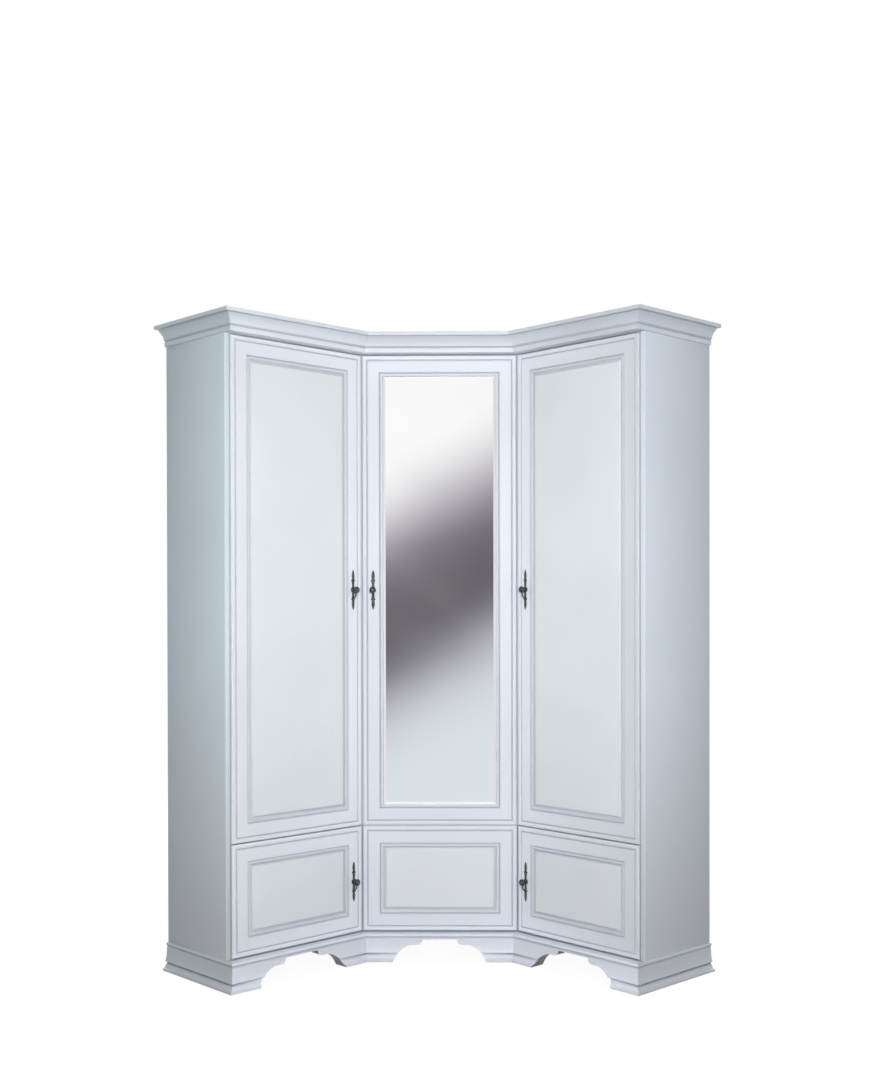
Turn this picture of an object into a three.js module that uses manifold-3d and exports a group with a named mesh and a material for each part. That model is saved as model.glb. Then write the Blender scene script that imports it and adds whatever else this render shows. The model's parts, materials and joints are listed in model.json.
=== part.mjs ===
// Corner wardrobe: a five-door wardrobe that fills a room corner. A mirrored door stands across the
// corner between two wings turned 45 degrees, and a moulded cornice and an arched plinth run round it.
import * as THREE from "three";
import { mergeVertices } from "three/addons/utils/BufferGeometryUtils.js";
import Module from "manifold-3d";

const wasm = await Module();
wasm.setup();

// Driving dimensions in millimetres
const height = 2200; // floor to the top of the cornice
const centreWidth = 548; // between the two inner corners, on the door plane
const wingWidth = 546; // inner corner to the gap beside the side panel
const sideDepth = 360; // wing door plane to the wall
const plinthHeight = 95;
const splitHeight = 470.5; // middle of the gap between upper and lower doors
const corniceHeight = 66;

// Boards and clearances
const boardThickness = 18;
const backThickness = 6;
const doorThickness = 22;
const doorGap = 3; // between neighbouring doors, and round each door
const doorLead = 8; // doors stand this far in front of the side panels' front edges
const doorBuffer = 2; // between a door's back and what lies behind it
const seat = 0.2; // glue line or bearing gap between two pieces

// Mouldings that run round the front and sides
const frontLead = 30; // front mouldings stand this far in front of the doors
const corniceProjection = 48;
const lipHeight = 13;
const lipRound = 2.5;
const coveTop = 32; // projection under the lip
const coveHollow = 12; // projection and height of the point that bends the cove
const coveHollowHeight = 37;
const coveFoot = 10;
const coveFootHeight = 22;
const filletProjection = 7;
const filletRound = 3;
const filletHeight = 16;
const corniceGroove = 4; // projection at the bottom of the groove over the lower fillet
const footProjection = 22;
const footEdge = 7; // upright edge at the floor
const footHeight = 22;
const footNeck = 9; // projection where the foot moulding meets the groove
const skirtGroove = 5;
const skirtGrooveHeight = 8;
const skirtToe = 12; // projection at the bottom of the skirt's face
const skirtHollow = 6; // projection and height of the point that bends the face
const skirtHollowHeight = 46;
const skirtTop = 5;
const beadProjection = 8;
const beadHeight = 11;
const beadGrooveHeight = 4;
const beadGroove = 3;

// Arched cut-outs of the plinth, with shares of half the arch's width
const centreArchWidth = 327;
const wingArchWidth = 356;
const wingArchInset = 12; // from the middle of the wing's skirt toward the middle door
const archHeight = 76;
const shoulderHeight = 57;
const footCurveHeight = 43;
const footCurveShare = 0.894;
const shoulderOuterShare = 0.63;
const shoulderInnerShare = 0.5;
const archTopShare = 0.375;

// Door frames: distances in from the door's edge, and depths behind its face
const beadWidth = 15;
const beadRadius = 6;
const outerGrooveIn = 17.5;
const outerGrooveHalf = 2;
const outerGrooveDepth = 4;
const frameFaceDepth = 1;
const innerGrooveIn = 62;
const innerGrooveHalf = 2;
const innerGrooveDepth = 4.5;
const lipIn = 73;
const lipDepth = 8;
const rebateIn = 65;
const panelGrooveIn = 78;
const fieldIn = 87;
const fieldDepth = 2.5;
const panelThickness = 12;
const mirrorThickness = 4;
const mirrorBevelIn = 82;
const mirrorBevelDepth = 1.2;
const backingThickness = 7;

// Handles
const handleIn = 38; // from the door's free edge
const upperHandleHeight = 1304;
const lowerHandleHeight = 278;
const plateLength = 140;
const plateWidth = 11.5;
const plateThickness = 3;
const plateCollarWidth = 17;
const plateCollarHeight = 5;
const plateCollarPlace = 33; // from the handle's middle
const plateWaist = 7;
const leafTaper = 15; // pointed part of each end
const leafFoot = 43; // from the middle to where each leaf begins
const roseRadius = 10;
const roseThickness = 5;
const stemRadius = 4;
const knobRadius = 11.5;
const knobReach = 27; // from the door's face to the knob's tip
const knobThickness = 13;
const scrollRadius = 2.4;
const scrollDrop = 34;
const scrollReach = 15;

// Fittings inside
const railRadius = 12.5;
const socketRadius = 19;
const socketThickness = 7;
const wingRailDrop = 88; // under the top boards
const hatShelfDrop = 278;
const centreRailDrop = 338;
const centreRailBack = 190; // behind the middle door
const postFront = 7; // corner post behind the gap between two doors, from the doors' faces
const postClearance = 0.7; // beside the doors' edges
const shelfSetback = 12; // loose shelves stand back from the doors
const lowerShelfShare = 0.32; // of the space between the fixed shelf and the top board
const upperShelfShare = 0.63;
const legWidth = 60;
const legSetback = 40;

// Concealed hinges
const hingeEndDistance = 110; // first hinge from a door's end
const hingeArmHeight = 16;
const hingeArmThickness = 10;
const hingePlateLength = 46;
const hingePlateHeight = 44;
const hingePlateThickness = 3;
const hingePlateBack = 34; // from the space behind the door to the mounting plate
const centrePlateBack = 68; // the same along a partition, from the middle door's corner
const hingeCupIn = 22; // from the door's edge to the cup's middle
const hingeTipHalf = 6;

// Fineness of curves, in steps
const mouldingSteps = 5;
const smallSteps = 4;
const roundSteps = 20;
const scrollSteps = 10;
const mergeShare = 1e-7; // of the wardrobe's height, within which corners are one

// Places worked out from the driving dimensions
const wingTurn = Math.PI / 4;
const halfCentre = centreWidth / 2;
const roomCorner = centreWidth * Math.SQRT1_2 + sideDepth; // along the wall, from the wing's own origin
const corniceBottom = height - corniceHeight;
const boardTop = corniceBottom + boardThickness;
const boardBottom = plinthHeight - boardThickness;
const doorBottom = plinthHeight + doorGap;
const doorTop = corniceBottom - doorGap;
const panelInner = wingWidth + doorGap / 2;
const panelOuter = panelInner + boardThickness;
const wallFace = sideDepth - backThickness;
const insideFront = doorThickness + doorBuffer;
const trimBack = doorLead - seat;
const innerMitre = Math.tan(wingTurn / 2);
const frontReach = frontLead + corniceProjection;
const originDepth =
  (halfCentre + sideDepth * Math.SQRT2 - (panelOuter + corniceProjection + frontReach) * Math.SQRT1_2) / 2;

// Materials
const paintedWood = { color: 0xdfe3e8, roughness: 0.42, metalness: 0 };
const carcassBoard = { color: 0xe6e8ea, roughness: 0.5, metalness: 0 };
const silverGlass = { color: 0xf2f4f5, roughness: 0.03, metalness: 1 };
const fibreBoard = { color: 0x9a7f62, roughness: 0.85, metalness: 0 };
const agedPewter = { color: 0x77746d, roughness: 0.38, metalness: 0.9 };
const chromedSteel = { color: 0xc4c7ca, roughness: 0.22, metalness: 1 };

// A mesh with its own material, named as the piece is
function piece(name, geometry, look) {
  const mesh = new THREE.Mesh(geometry, new THREE.MeshStandardMaterial(look));
  mesh.name = name;
  mesh.geometry.computeVertexNormals();
  return mesh;
}

// A closed geometry as a solid that can be joined or cut
function solidOf(geometry) {
  const bare = geometry.clone();
  bare.deleteAttribute("normal");
  bare.deleteAttribute("uv");
  const merged = mergeVertices(bare, mergeShare * height);
  const mesh = new wasm.Mesh({
    numProp: 3,
    vertProperties: merged.getAttribute("position").array,
    triVerts: new Uint32Array(merged.index.array),
  });
  return new wasm.Manifold(mesh);
}

function geometryOf(solid) {
  const mesh = solid.getMesh();
  const geometry = new THREE.BufferGeometry();
  geometry.setAttribute("position", new THREE.BufferAttribute(mesh.vertProperties, 3));
  geometry.setIndex(new THREE.BufferAttribute(mesh.triVerts, 1));
  return geometry;
}

function join(...geometries) {
  const solids = geometries.map(solidOf);
  return geometryOf(solids.reduce((whole, next) => whole.add(next)));
}

function cut(body, ...cutters) {
  const solids = cutters.map(solidOf);
  return geometryOf(solids.reduce((whole, next) => whole.subtract(next), solidOf(body)));
}

// An upright prism over a plan outline
function prism(points, bottom, top) {
  const outline = new THREE.Shape(points.map(([x, y]) => new THREE.Vector2(x, y)));
  const geometry = new THREE.ExtrudeGeometry(outline, { depth: top - bottom, bevelEnabled: false });
  return geometry.translate(0, 0, bottom);
}

function board(x0, x1, y0, y1, z0, z1) {
  const geometry = new THREE.BoxGeometry(Math.abs(x1 - x0), y1 - y0, z1 - z0);
  return geometry.translate((x0 + x1) / 2, (y0 + y1) / 2, (z0 + z1) / 2);
}

// A moulding swept along x in front of the door plane. Each end is cut on a line through its place on
// that plane: mitre says how far the cut moves along for each millimetre that the moulding stands out.
function mouldingRun(profile, base, start, end) {
  const options = { depth: 1, bevelEnabled: false, curveSegments: mouldingSteps };
  const geometry = new THREE.ExtrudeGeometry(profile, options);
  const position = geometry.getAttribute("position");
  for (let i = 0; i < position.count; i += 1) {
    const out = position.getX(i) + base;
    const from = end.at + end.mitre * out;
    const to = start.at + start.mitre * out;
    position.setXYZ(i, from + (to - from) * position.getZ(i), -out, position.getY(i));
  }
  return geometry;
}

// Rectangular loops stepped in from a door's edge and back from its face, joined by flat bands. A closed
// profile gives a mitred frame, and an open one, drawn from back to front, gives a slab.
function steppedRectangle(width, length, profile, closed) {
  const corners = [[-1, -1], [1, -1], [1, 1], [-1, 1]];
  const vertices = profile.flatMap((point) =>
    corners.flatMap(([x, z]) => [x * (width / 2 - point.x), point.y, z * (length / 2 - point.x)]),
  );
  const indices = [];
  const bands = closed ? profile.length : profile.length - 1;
  for (let i = 0; i < bands; i += 1) {
    const next = ((i + 1) % profile.length) * 4;
    for (let j = 0; j < 4; j += 1) {
      const k = (j + 1) % 4;
      indices.push(i * 4 + j, i * 4 + k, next + k, i * 4 + j, next + k, next + j);
    }
  }
  if (!closed) {
    const last = (profile.length - 1) * 4;
    indices.push(0, 2, 1, 0, 3, 2, last, last + 1, last + 2, last, last + 2, last + 3);
  }
  const geometry = new THREE.BufferGeometry();
  geometry.setAttribute("position", new THREE.Float32BufferAttribute(vertices, 3));
  geometry.setIndex(indices);
  return geometry;
}

// The cornice's profile: a lower fillet, a groove, a hollow cove and the square lip on top
function corniceProfile(back) {
  const lipBottom = corniceHeight - lipHeight;
  const outline = new THREE.Shape();
  outline.moveTo(-back, 0);
  outline.lineTo(filletProjection - filletRound, 0);
  outline.quadraticCurveTo(filletProjection, 0, filletProjection, filletRound);
  outline.lineTo(filletProjection, filletHeight - filletRound);
  outline.quadraticCurveTo(filletProjection, filletHeight, corniceGroove, filletHeight);
  outline.lineTo(coveFoot, coveFootHeight);
  outline.quadraticCurveTo(coveHollow, coveHollowHeight, coveTop, lipBottom);
  outline.lineTo(corniceProjection - lipRound, lipBottom);
  outline.quadraticCurveTo(corniceProjection, lipBottom, corniceProjection, lipBottom + lipRound);
  outline.lineTo(corniceProjection, corniceHeight - lipRound);
  outline.quadraticCurveTo(corniceProjection, corniceHeight, corniceProjection - lipRound, corniceHeight);
  outline.lineTo(-back, corniceHeight);
  return outline;
}

// The plinth's profile: a flared foot, a groove, the slightly hollow face and a rounded bead on top
function plinthProfile(back) {
  const faceBottom = footHeight + skirtGrooveHeight;
  const beadBottom = plinthHeight - beadHeight;
  const outline = new THREE.Shape();
  outline.moveTo(-back, 0);
  outline.lineTo(footProjection, 0);
  outline.lineTo(footProjection, footEdge);
  outline.quadraticCurveTo(footNeck, footEdge + footNeck / 2, footNeck, footHeight);
  outline.lineTo(skirtGroove, footHeight);
  outline.lineTo(skirtGroove, faceBottom);
  outline.lineTo(skirtToe, faceBottom);
  outline.quadraticCurveTo(skirtHollow, skirtHollowHeight, skirtTop, beadBottom - beadGrooveHeight);
  outline.lineTo(beadGroove, beadBottom);
  outline.quadraticCurveTo(beadProjection, beadBottom, beadProjection, beadBottom + beadHeight / 2);
  outline.quadraticCurveTo(beadProjection, plinthHeight, beadGroove, plinthHeight);
  outline.lineTo(-back, plinthHeight);
  return outline;
}

// Half of an arch from its foot to its top, mirrored: a swelling curve to a shoulder, then a small cove
function archCutter(middle, width) {
  const half = width / 2;
  const outline = new THREE.Shape();
  outline.moveTo(half, -seat);
  outline.lineTo(half, 0);
  outline.quadraticCurveTo(footCurveShare * half, footCurveHeight, shoulderOuterShare * half, shoulderHeight);
  outline.lineTo(shoulderInnerShare * half, shoulderHeight);
  outline.quadraticCurveTo(archTopShare * half, shoulderHeight, archTopShare * half, archHeight);
  outline.lineTo(-archTopShare * half, archHeight);
  outline.quadraticCurveTo(-archTopShare * half, shoulderHeight, -shoulderInnerShare * half, shoulderHeight);
  outline.lineTo(-shoulderOuterShare * half, shoulderHeight);
  outline.quadraticCurveTo(-footCurveShare * half, footCurveHeight, -half, 0);
  outline.lineTo(-half, -seat);
  const depth = 2 * frontReach;
  const options = { depth, bevelEnabled: false, curveSegments: mouldingSteps };
  const geometry = new THREE.ExtrudeGeometry(outline, options);
  return geometry.rotateX(Math.PI / 2).translate(middle, depth / 2, 0);
}

// Plan of the front trim's outer corner, beyond which the side trim takes over
function cornerCutter(side, top) {
  const far = panelOuter + 2 * frontReach;
  const points = [
    [side * panelOuter, -frontLead],
    [side * far, -frontLead - 2 * frontReach],
    [side * far, frontReach],
    [side * panelOuter, frontReach],
  ];
  return prism(points, -seat, top + seat);
}

// Cornice and plinth: one run on each of the five faces
function centreTrim(profileOf) {
  const start = { at: -halfCentre + seat / 2, mitre: innerMitre };
  const end = { at: halfCentre - seat / 2, mitre: -innerMitre };
  return mouldingRun(profileOf(frontLead + trimBack), frontLead, start, end);
}

function wingTrim(profileOf, side, top) {
  const inner = { at: side * (seat / 2), mitre: side * innerMitre };
  const outer = { at: side * (panelOuter + frontReach), mitre: 0 };
  const [start, end] = side > 0 ? [inner, outer] : [outer, inner];
  return cut(mouldingRun(profileOf(frontLead + trimBack), frontLead, start, end), cornerCutter(side, top));
}

function sideTrim(profileOf, side) {
  const front = { at: side * (seat - frontLead), mitre: -side };
  const rear = { at: side * sideDepth, mitre: 0 };
  const [start, end] = side > 0 ? [front, rear] : [rear, front];
  return mouldingRun(profileOf(-seat), 0, start, end);
}

// Section of a door frame, from its outer back edge over the face and down into the rebate
function framePath() {
  const path = new THREE.Path();
  path.moveTo(0, doorThickness);
  path.lineTo(0, beadRadius);
  path.quadraticCurveTo(0, 0, beadWidth / 2, 0);
  path.quadraticCurveTo(beadWidth, 0, outerGrooveIn - outerGrooveHalf, outerGrooveDepth);
  path.lineTo(outerGrooveIn, outerGrooveDepth);
  path.lineTo(outerGrooveIn + outerGrooveHalf, frameFaceDepth);
  path.lineTo(innerGrooveIn - innerGrooveHalf, frameFaceDepth);
  path.lineTo(innerGrooveIn, innerGrooveDepth);
  path.quadraticCurveTo(innerGrooveIn, 0, (innerGrooveIn + lipIn) / 2, frameFaceDepth);
  path.quadraticCurveTo(lipIn, frameFaceDepth, lipIn, innerGrooveDepth);
  path.lineTo(lipIn, lipDepth);
  path.lineTo(rebateIn, lipDepth);
  path.lineTo(rebateIn, doorThickness);
  return path.getPoints(smallSteps);
}

function raisedPanelPath() {
  const edge = rebateIn + seat;
  const front = lipDepth + seat;
  const path = new THREE.Path();
  path.moveTo(edge, front + panelThickness);
  path.lineTo(edge, front);
  path.lineTo(panelGrooveIn, front);
  path.quadraticCurveTo((panelGrooveIn + fieldIn) / 2, fieldDepth, fieldIn, fieldDepth);
  return path.getPoints(smallSteps);
}

function mirrorPath() {
  const front = lipDepth + seat;
  const back = front + mirrorThickness;
  const edge = rebateIn + seat;
  return [
    new THREE.Vector2(edge, back),
    new THREE.Vector2(edge, front + mirrorBevelDepth),
    new THREE.Vector2(mirrorBevelIn, front),
  ];
}

function backingPath() {
  const front = lipDepth + mirrorThickness + 2 * seat;
  const edge = rebateIn + seat;
  return [new THREE.Vector2(edge, front + backingThickness), new THREE.Vector2(edge, front)];
}

function doorPiece(name, geometry, look, x, bottom, top) {
  const mesh = piece(name, geometry, look);
  mesh.position.set(x, 0, (bottom + top) / 2);
  return mesh;
}

// Handles: a slim back plate with pointed ends and two collars, and a mushroom knob on a turned rose
function plateGeometry() {
  const end = plateLength / 2;
  const collarTop = plateCollarPlace + plateCollarHeight / 2;
  const collarBottom = plateCollarPlace - plateCollarHeight / 2;
  const outline = new THREE.Shape();
  for (const turn of [1, -1]) {
    const half = (width) => (turn * width) / 2;
    const taper = end - leafTaper;
    const tip = end - leafTaper / 2;
    if (turn > 0) outline.moveTo(0, end);
    outline.quadraticCurveTo(half(plateWidth), turn * tip, half(plateWidth), turn * taper);
    outline.quadraticCurveTo(half(plateWidth), turn * leafFoot, half(plateWaist), turn * leafFoot);
    outline.lineTo(half(plateWaist), turn * collarTop);
    outline.lineTo(half(plateCollarWidth), turn * collarTop);
    outline.lineTo(half(plateCollarWidth), turn * collarBottom);
    outline.lineTo(half(plateWaist), turn * collarBottom);
    outline.lineTo(half(plateWaist), -turn * collarBottom);
    outline.lineTo(half(plateCollarWidth), -turn * collarBottom);
    outline.lineTo(half(plateCollarWidth), -turn * collarTop);
    outline.lineTo(half(plateWaist), -turn * collarTop);
    outline.lineTo(half(plateWaist), -turn * leafFoot);
    outline.quadraticCurveTo(half(plateWidth), -turn * leafFoot, half(plateWidth), -turn * taper);
    outline.quadraticCurveTo(half(plateWidth), -turn * tip, 0, -turn * end);
  }
  const geometry = new THREE.ExtrudeGeometry(outline, {
    depth: plateThickness,
    bevelEnabled: false,
    curveSegments: smallSteps,
  });
  return geometry.rotateX(Math.PI / 2);
}

function knobGeometry() {
  const knobFoot = knobReach - knobThickness;
  const path = new THREE.Path();
  path.moveTo(0, 0);
  path.lineTo(roseRadius, 0);
  path.lineTo(roseRadius, roseThickness / 2);
  path.quadraticCurveTo(roseRadius, roseThickness, stemRadius, roseThickness);
  path.lineTo(stemRadius, knobFoot);
  path.quadraticCurveTo(knobRadius, knobFoot, knobRadius, knobFoot + knobThickness / 2);
  path.quadraticCurveTo(knobRadius, knobReach, 0, knobReach);
  return new THREE.LatheGeometry(path.getPoints(smallSteps), roundSteps).rotateX(Math.PI);
}

function scrollGeometry() {
  const spine = new THREE.CatmullRomCurve3([
    new THREE.Vector3(0, knobThickness / 2 - knobReach, -stemRadius),
    new THREE.Vector3(0, -scrollReach, -scrollDrop / 2),
    new THREE.Vector3(0, -scrollReach / 2, -scrollDrop),
    new THREE.Vector3(0, -plateThickness / 2, -scrollDrop + scrollRadius),
  ]);
  const wire = new THREE.Shape().absarc(0, 0, scrollRadius, 0, 2 * Math.PI);
  const options = { steps: scrollSteps, extrudePath: spine, curveSegments: smallSteps };
  return new THREE.ExtrudeGeometry(wire, options);
}

function handle(name, x, z) {
  const mesh = piece(name, join(plateGeometry(), knobGeometry(), scrollGeometry()), agedPewter);
  mesh.position.set(x, frameFaceDepth - seat, z);
  return mesh;
}

// A door made of a frame and a raised panel held in its rebate
function panelledDoor(label, side, bottom, top) {
  const width = wingWidth - doorGap;
  const length = top - bottom;
  const middle = (side * wingWidth) / 2;
  const frame = steppedRectangle(width, length, framePath(), true);
  const panel = steppedRectangle(width, length, raisedPanelPath(), false);
  return [
    doorPiece("door_frame_" + label, frame, paintedWood, middle, bottom, top),
    doorPiece("door_panel_" + label, panel, paintedWood, middle, bottom, top),
  ];
}

// The middle door: one frame with two windows, moulded to look like two doors with a gap between
function centreDoor() {
  const width = centreWidth - doorGap;
  const parting = [splitHeight - doorGap / 2, splitHeight + doorGap / 2];
  const windows = [[doorBottom, parting[0]], [parting[1], doorTop]];
  const rings = windows.map(([low, high]) =>
    steppedRectangle(width, high - low, framePath(), true).translate(0, 0, (low + high) / 2),
  );
  const web = board(-width / 2, width / 2, beadRadius, doorThickness, parting[0] - seat, parting[1] + seat);
  const [lower, upper] = windows;
  const panel = steppedRectangle(width, lower[1] - lower[0], raisedPanelPath(), false);
  const mirror = steppedRectangle(width, upper[1] - upper[0], mirrorPath(), false);
  const backing = steppedRectangle(width, upper[1] - upper[0], backingPath(), false);
  return [
    piece("door_frame_centre", join(...rings, web), paintedWood),
    doorPiece("door_panel_centre", panel, paintedWood, 0, ...lower),
    doorPiece("mirror", mirror, silverGlass, 0, ...upper),
    doorPiece("mirror_backing", backing, fibreBoard, 0, ...upper),
  ];
}

// Concealed hinges: a mounting plate on the carcass and the arm that reaches to the door's cup. Points
// are measured from the face that carries the plate and from the line of the door's back.
function hingeArm(name, outline, plateStart, facing, z) {
  const plateX = [facing * seat, facing * (seat + hingePlateThickness)];
  const plate = board(
    Math.min(...plateX),
    Math.max(...plateX),
    plateStart,
    plateStart + hingePlateLength,
    -hingePlateHeight / 2,
    hingePlateHeight / 2,
  );
  const points = outline.map(([x, y]) => [facing * x, y]);
  const mesh = piece(name, join(plate, prism(points, -hingeArmHeight / 2, hingeArmHeight / 2)), chromedSteel);
  mesh.position.z = z;
  return mesh;
}

const armStart = seat + hingePlateThickness / 2;
const wingArm = [
  [armStart, insideFront + hingePlateBack],
  [doorGap + hingeCupIn - hingeTipHalf, doorThickness + seat],
  [doorGap + hingeCupIn + hingeTipHalf, doorThickness + seat],
  [doorGap + hingeCupIn + hingeTipHalf, insideFront + hingeTipHalf],
  [armStart + hingeArmThickness, insideFront + hingePlateBack],
  [armStart + hingeArmThickness, insideFront + hingePlateBack + hingePlateLength],
  [armStart, insideFront + hingePlateBack + hingePlateLength],
];

// The middle door's hinges sit on a partition that runs back at 45 degrees to the door
function onPartition(x, y) {
  const across = x - halfCentre;
  return [-(across - y) * Math.SQRT1_2 - boardThickness / 2, (across + y) * Math.SQRT1_2];
}

const cupMiddle = halfCentre - doorGap / 2 - hingeCupIn;
const centreArm = [
  [armStart, centrePlateBack],
  onPartition(cupMiddle + hingeTipHalf, doorThickness + seat),
  onPartition(cupMiddle - hingeTipHalf, doorThickness + seat),
  onPartition(cupMiddle - hingeTipHalf, insideFront + hingeTipHalf),
  [armStart + hingeArmThickness, centrePlateBack],
  [armStart + hingeArmThickness, centrePlateBack + hingePlateLength],
  [armStart, centrePlateBack + hingePlateLength],
];

function hingeHeights(bottom, top, count) {
  const first = bottom + hingeEndDistance;
  const step = (top - bottom - 2 * hingeEndDistance) / (count - 1);
  return Array.from({ length: count }, (_, i) => first + i * step);
}

// A hanging rail along x with a round socket at each end
function wingRail(name, side) {
  const ends = [boardThickness / 2 + seat, panelInner - seat];
  const parts = [[railRadius, ends[0], ends[1]]];
  parts.push([socketRadius, ends[0], ends[0] + socketThickness]);
  parts.push([socketRadius, ends[1] - socketThickness, ends[1]]);
  const tubes = parts.map(([radius, from, to]) =>
    new THREE.CylinderGeometry(radius, radius, to - from, roundSteps)
      .rotateZ(Math.PI / 2)
      .translate((side * (from + to)) / 2, 0, 0),
  );
  const mesh = piece(name, join(...tubes), chromedSteel);
  mesh.position.set(0, sideDepth / 2, corniceBottom - wingRailDrop);
  return mesh;
}

// Plan of a board behind the middle door, between the partitions and up to the room corner
function centrePlan(front, clearance, rear) {
  const frontX = halfCentre + front - clearance * Math.SQRT2;
  const rearX = halfCentre + (rear - clearance) * Math.SQRT1_2;
  const rearY = (rear + clearance) * Math.SQRT1_2;
  const corner = halfCentre + rear * Math.SQRT2;
  return [[-frontX, front], [frontX, front], [rearX, rearY], [0, corner], [-rearX, rearY]];
}

function centreRail() {
  const reach = halfCentre + centreRailBack;
  const beside = boardThickness / 2 + seat;
  const tube = new THREE.CylinderGeometry(railRadius, railRadius, 2 * reach, roundSteps)
    .rotateZ(Math.PI / 2)
    .translate(0, centreRailBack, 0);
  const between = centrePlan(insideFront, beside, wallFace);
  const far = 2 * reach;
  const frame = [[-far, 0], [far, 0], [far, far], [-far, far]];
  const outline = new THREE.Shape(frame.map(([x, y]) => new THREE.Vector2(x, y)));
  outline.holes.push(new THREE.Path(between.map(([x, y]) => new THREE.Vector2(x, y))));
  const outside = new THREE.ExtrudeGeometry(outline, { depth: 4 * railRadius, bevelEnabled: false });
  outside.translate(0, 0, -2 * railRadius);
  const sockets = [-1, 1].map((side) =>
    new THREE.CylinderGeometry(socketRadius, socketRadius, socketThickness, roundSteps)
      .rotateZ(Math.PI / 2)
      .translate(-side * (beside + socketThickness / 2), 0, 0)
      .rotateZ(-side * wingTurn)
      .translate(side * (reach - beside * Math.SQRT1_2), centreRailBack - beside * Math.SQRT1_2, 0),
  );
  const mesh = piece("rail_centre", join(cut(tube, outside), ...sockets), chromedSteel);
  mesh.position.z = corniceBottom - centreRailDrop;
  return mesh;
}

// Plan of the post on a partition's front edge. It fills the wedge behind the corner gap of two doors.
function postPlan(side) {
  const lean = wingTurn / 2;
  const station = (along, turn) => {
    const half = (doorGap / 2 + along * Math.sin(lean)) / Math.cos(lean) - postClearance;
    const across = turn * half;
    const x = -along * Math.sin(lean) + across * Math.cos(lean);
    return [side * x, along * Math.cos(lean) + across * Math.sin(lean)];
  };
  const back = insideFront + doorBuffer;
  return [station(postFront, -1), station(postFront, 1), station(back, 1), station(back, -1)];
}

// Pieces of one wing, in a frame whose origin is the inner corner and whose x runs along its front
function wing(side) {
  const word = side > 0 ? "right" : "left";
  const group = new THREE.Group();
  group.position.x = side * halfCentre;
  group.rotation.z = -side * wingTurn;

  const between = [side * (boardThickness / 2 + seat), side * (panelInner - seat)];
  const across = [side * (seat / 2), side * (panelInner - seat)];
  const rear = wallFace - seat;
  const insideTop = corniceBottom - seat;
  const shelfHalf = boardThickness / 2;
  const shelf = (name, front, middle) =>
    piece(name, board(...between, front, rear, middle - shelfHalf, middle + shelfHalf), carcassBoard);

  const sidePanel = board(side * panelInner, side * panelOuter, doorLead, sideDepth, 0, boardTop);
  const partitionBoard = board(-shelfHalf, shelfHalf, insideFront, rear, plinthHeight + seat, insideTop);
  const partition = join(partitionBoard, prism(postPlan(side), plinthHeight + seat, insideTop));
  const bottom = board(...across, doorLead, rear, boardBottom, plinthHeight);
  const top = board(...across, doorLead, rear, corniceBottom, boardTop);
  const backPlan = [
    [side * (seat - roomCorner), sideDepth],
    [side * (seat - roomCorner + backThickness), wallFace],
    [side * (panelInner - seat), wallFace],
    [side * (panelInner - seat), sideDepth],
  ];
  group.add(
    piece("side_panel_" + word, sidePanel, paintedWood),
    piece("partition_" + word, partition, carcassBoard),
    piece("wing_bottom_" + word, bottom, carcassBoard),
    piece("wing_top_" + word, top, carcassBoard),
    piece("back_panel_" + word, prism(backPlan, boardBottom, boardTop), carcassBoard),
    shelf("split_shelf_" + word, insideFront, splitHeight),
  );
  if (side < 0) {
    [lowerShelfShare, upperShelfShare].forEach((share, i) => {
      const middle = splitHeight + share * (corniceBottom - splitHeight);
      group.add(shelf("shelf_left_" + (i + 1), insideFront + shelfSetback, middle));
    });
  } else {
    group.add(wingRail("rail_right", side));
  }

  const skirtMiddle = (innerMitre * (frontLead + footProjection) + panelOuter + footProjection) / 2;
  const archMiddle = skirtMiddle - wingArchInset;
  const skirt = cut(wingTrim(plinthProfile, side, height), archCutter(side * archMiddle, wingArchWidth));
  const cornice = piece("cornice_wing_" + word, wingTrim(corniceProfile, side, height), paintedWood);
  cornice.position.z = corniceBottom;
  group.add(cornice, piece("plinth_wing_" + word, skirt, paintedWood));

  const outside = new THREE.Group();
  outside.position.x = side * panelOuter;
  outside.rotation.z = (side * Math.PI) / 2;
  const sideCornice = piece("cornice_side_" + word, sideTrim(corniceProfile, side), paintedWood);
  sideCornice.position.z = corniceBottom;
  outside.add(sideCornice, piece("plinth_side_" + word, sideTrim(plinthProfile, side), paintedWood));
  group.add(outside);

  const levels = [
    ["lower_" + word, doorBottom, splitHeight - doorGap / 2, lowerHandleHeight, 2],
    ["upper_" + word, splitHeight + doorGap / 2, doorTop, upperHandleHeight, 3],
  ];
  for (const [label, low, high, handleHeight, hinges] of levels) {
    group.add(...panelledDoor(label, side, low, high));
    group.add(handle("handle_" + label, side * (doorGap / 2 + handleIn), handleHeight));
    hingeHeights(low, high, hinges).forEach((z, i) => {
      const arm = hingeArm("hinge_" + label + "_" + (i + 1), wingArm, insideFront + hingePlateBack, -side, z);
      arm.position.x = side * panelInner;
      group.add(arm);
    });
  }
  return group;
}

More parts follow.
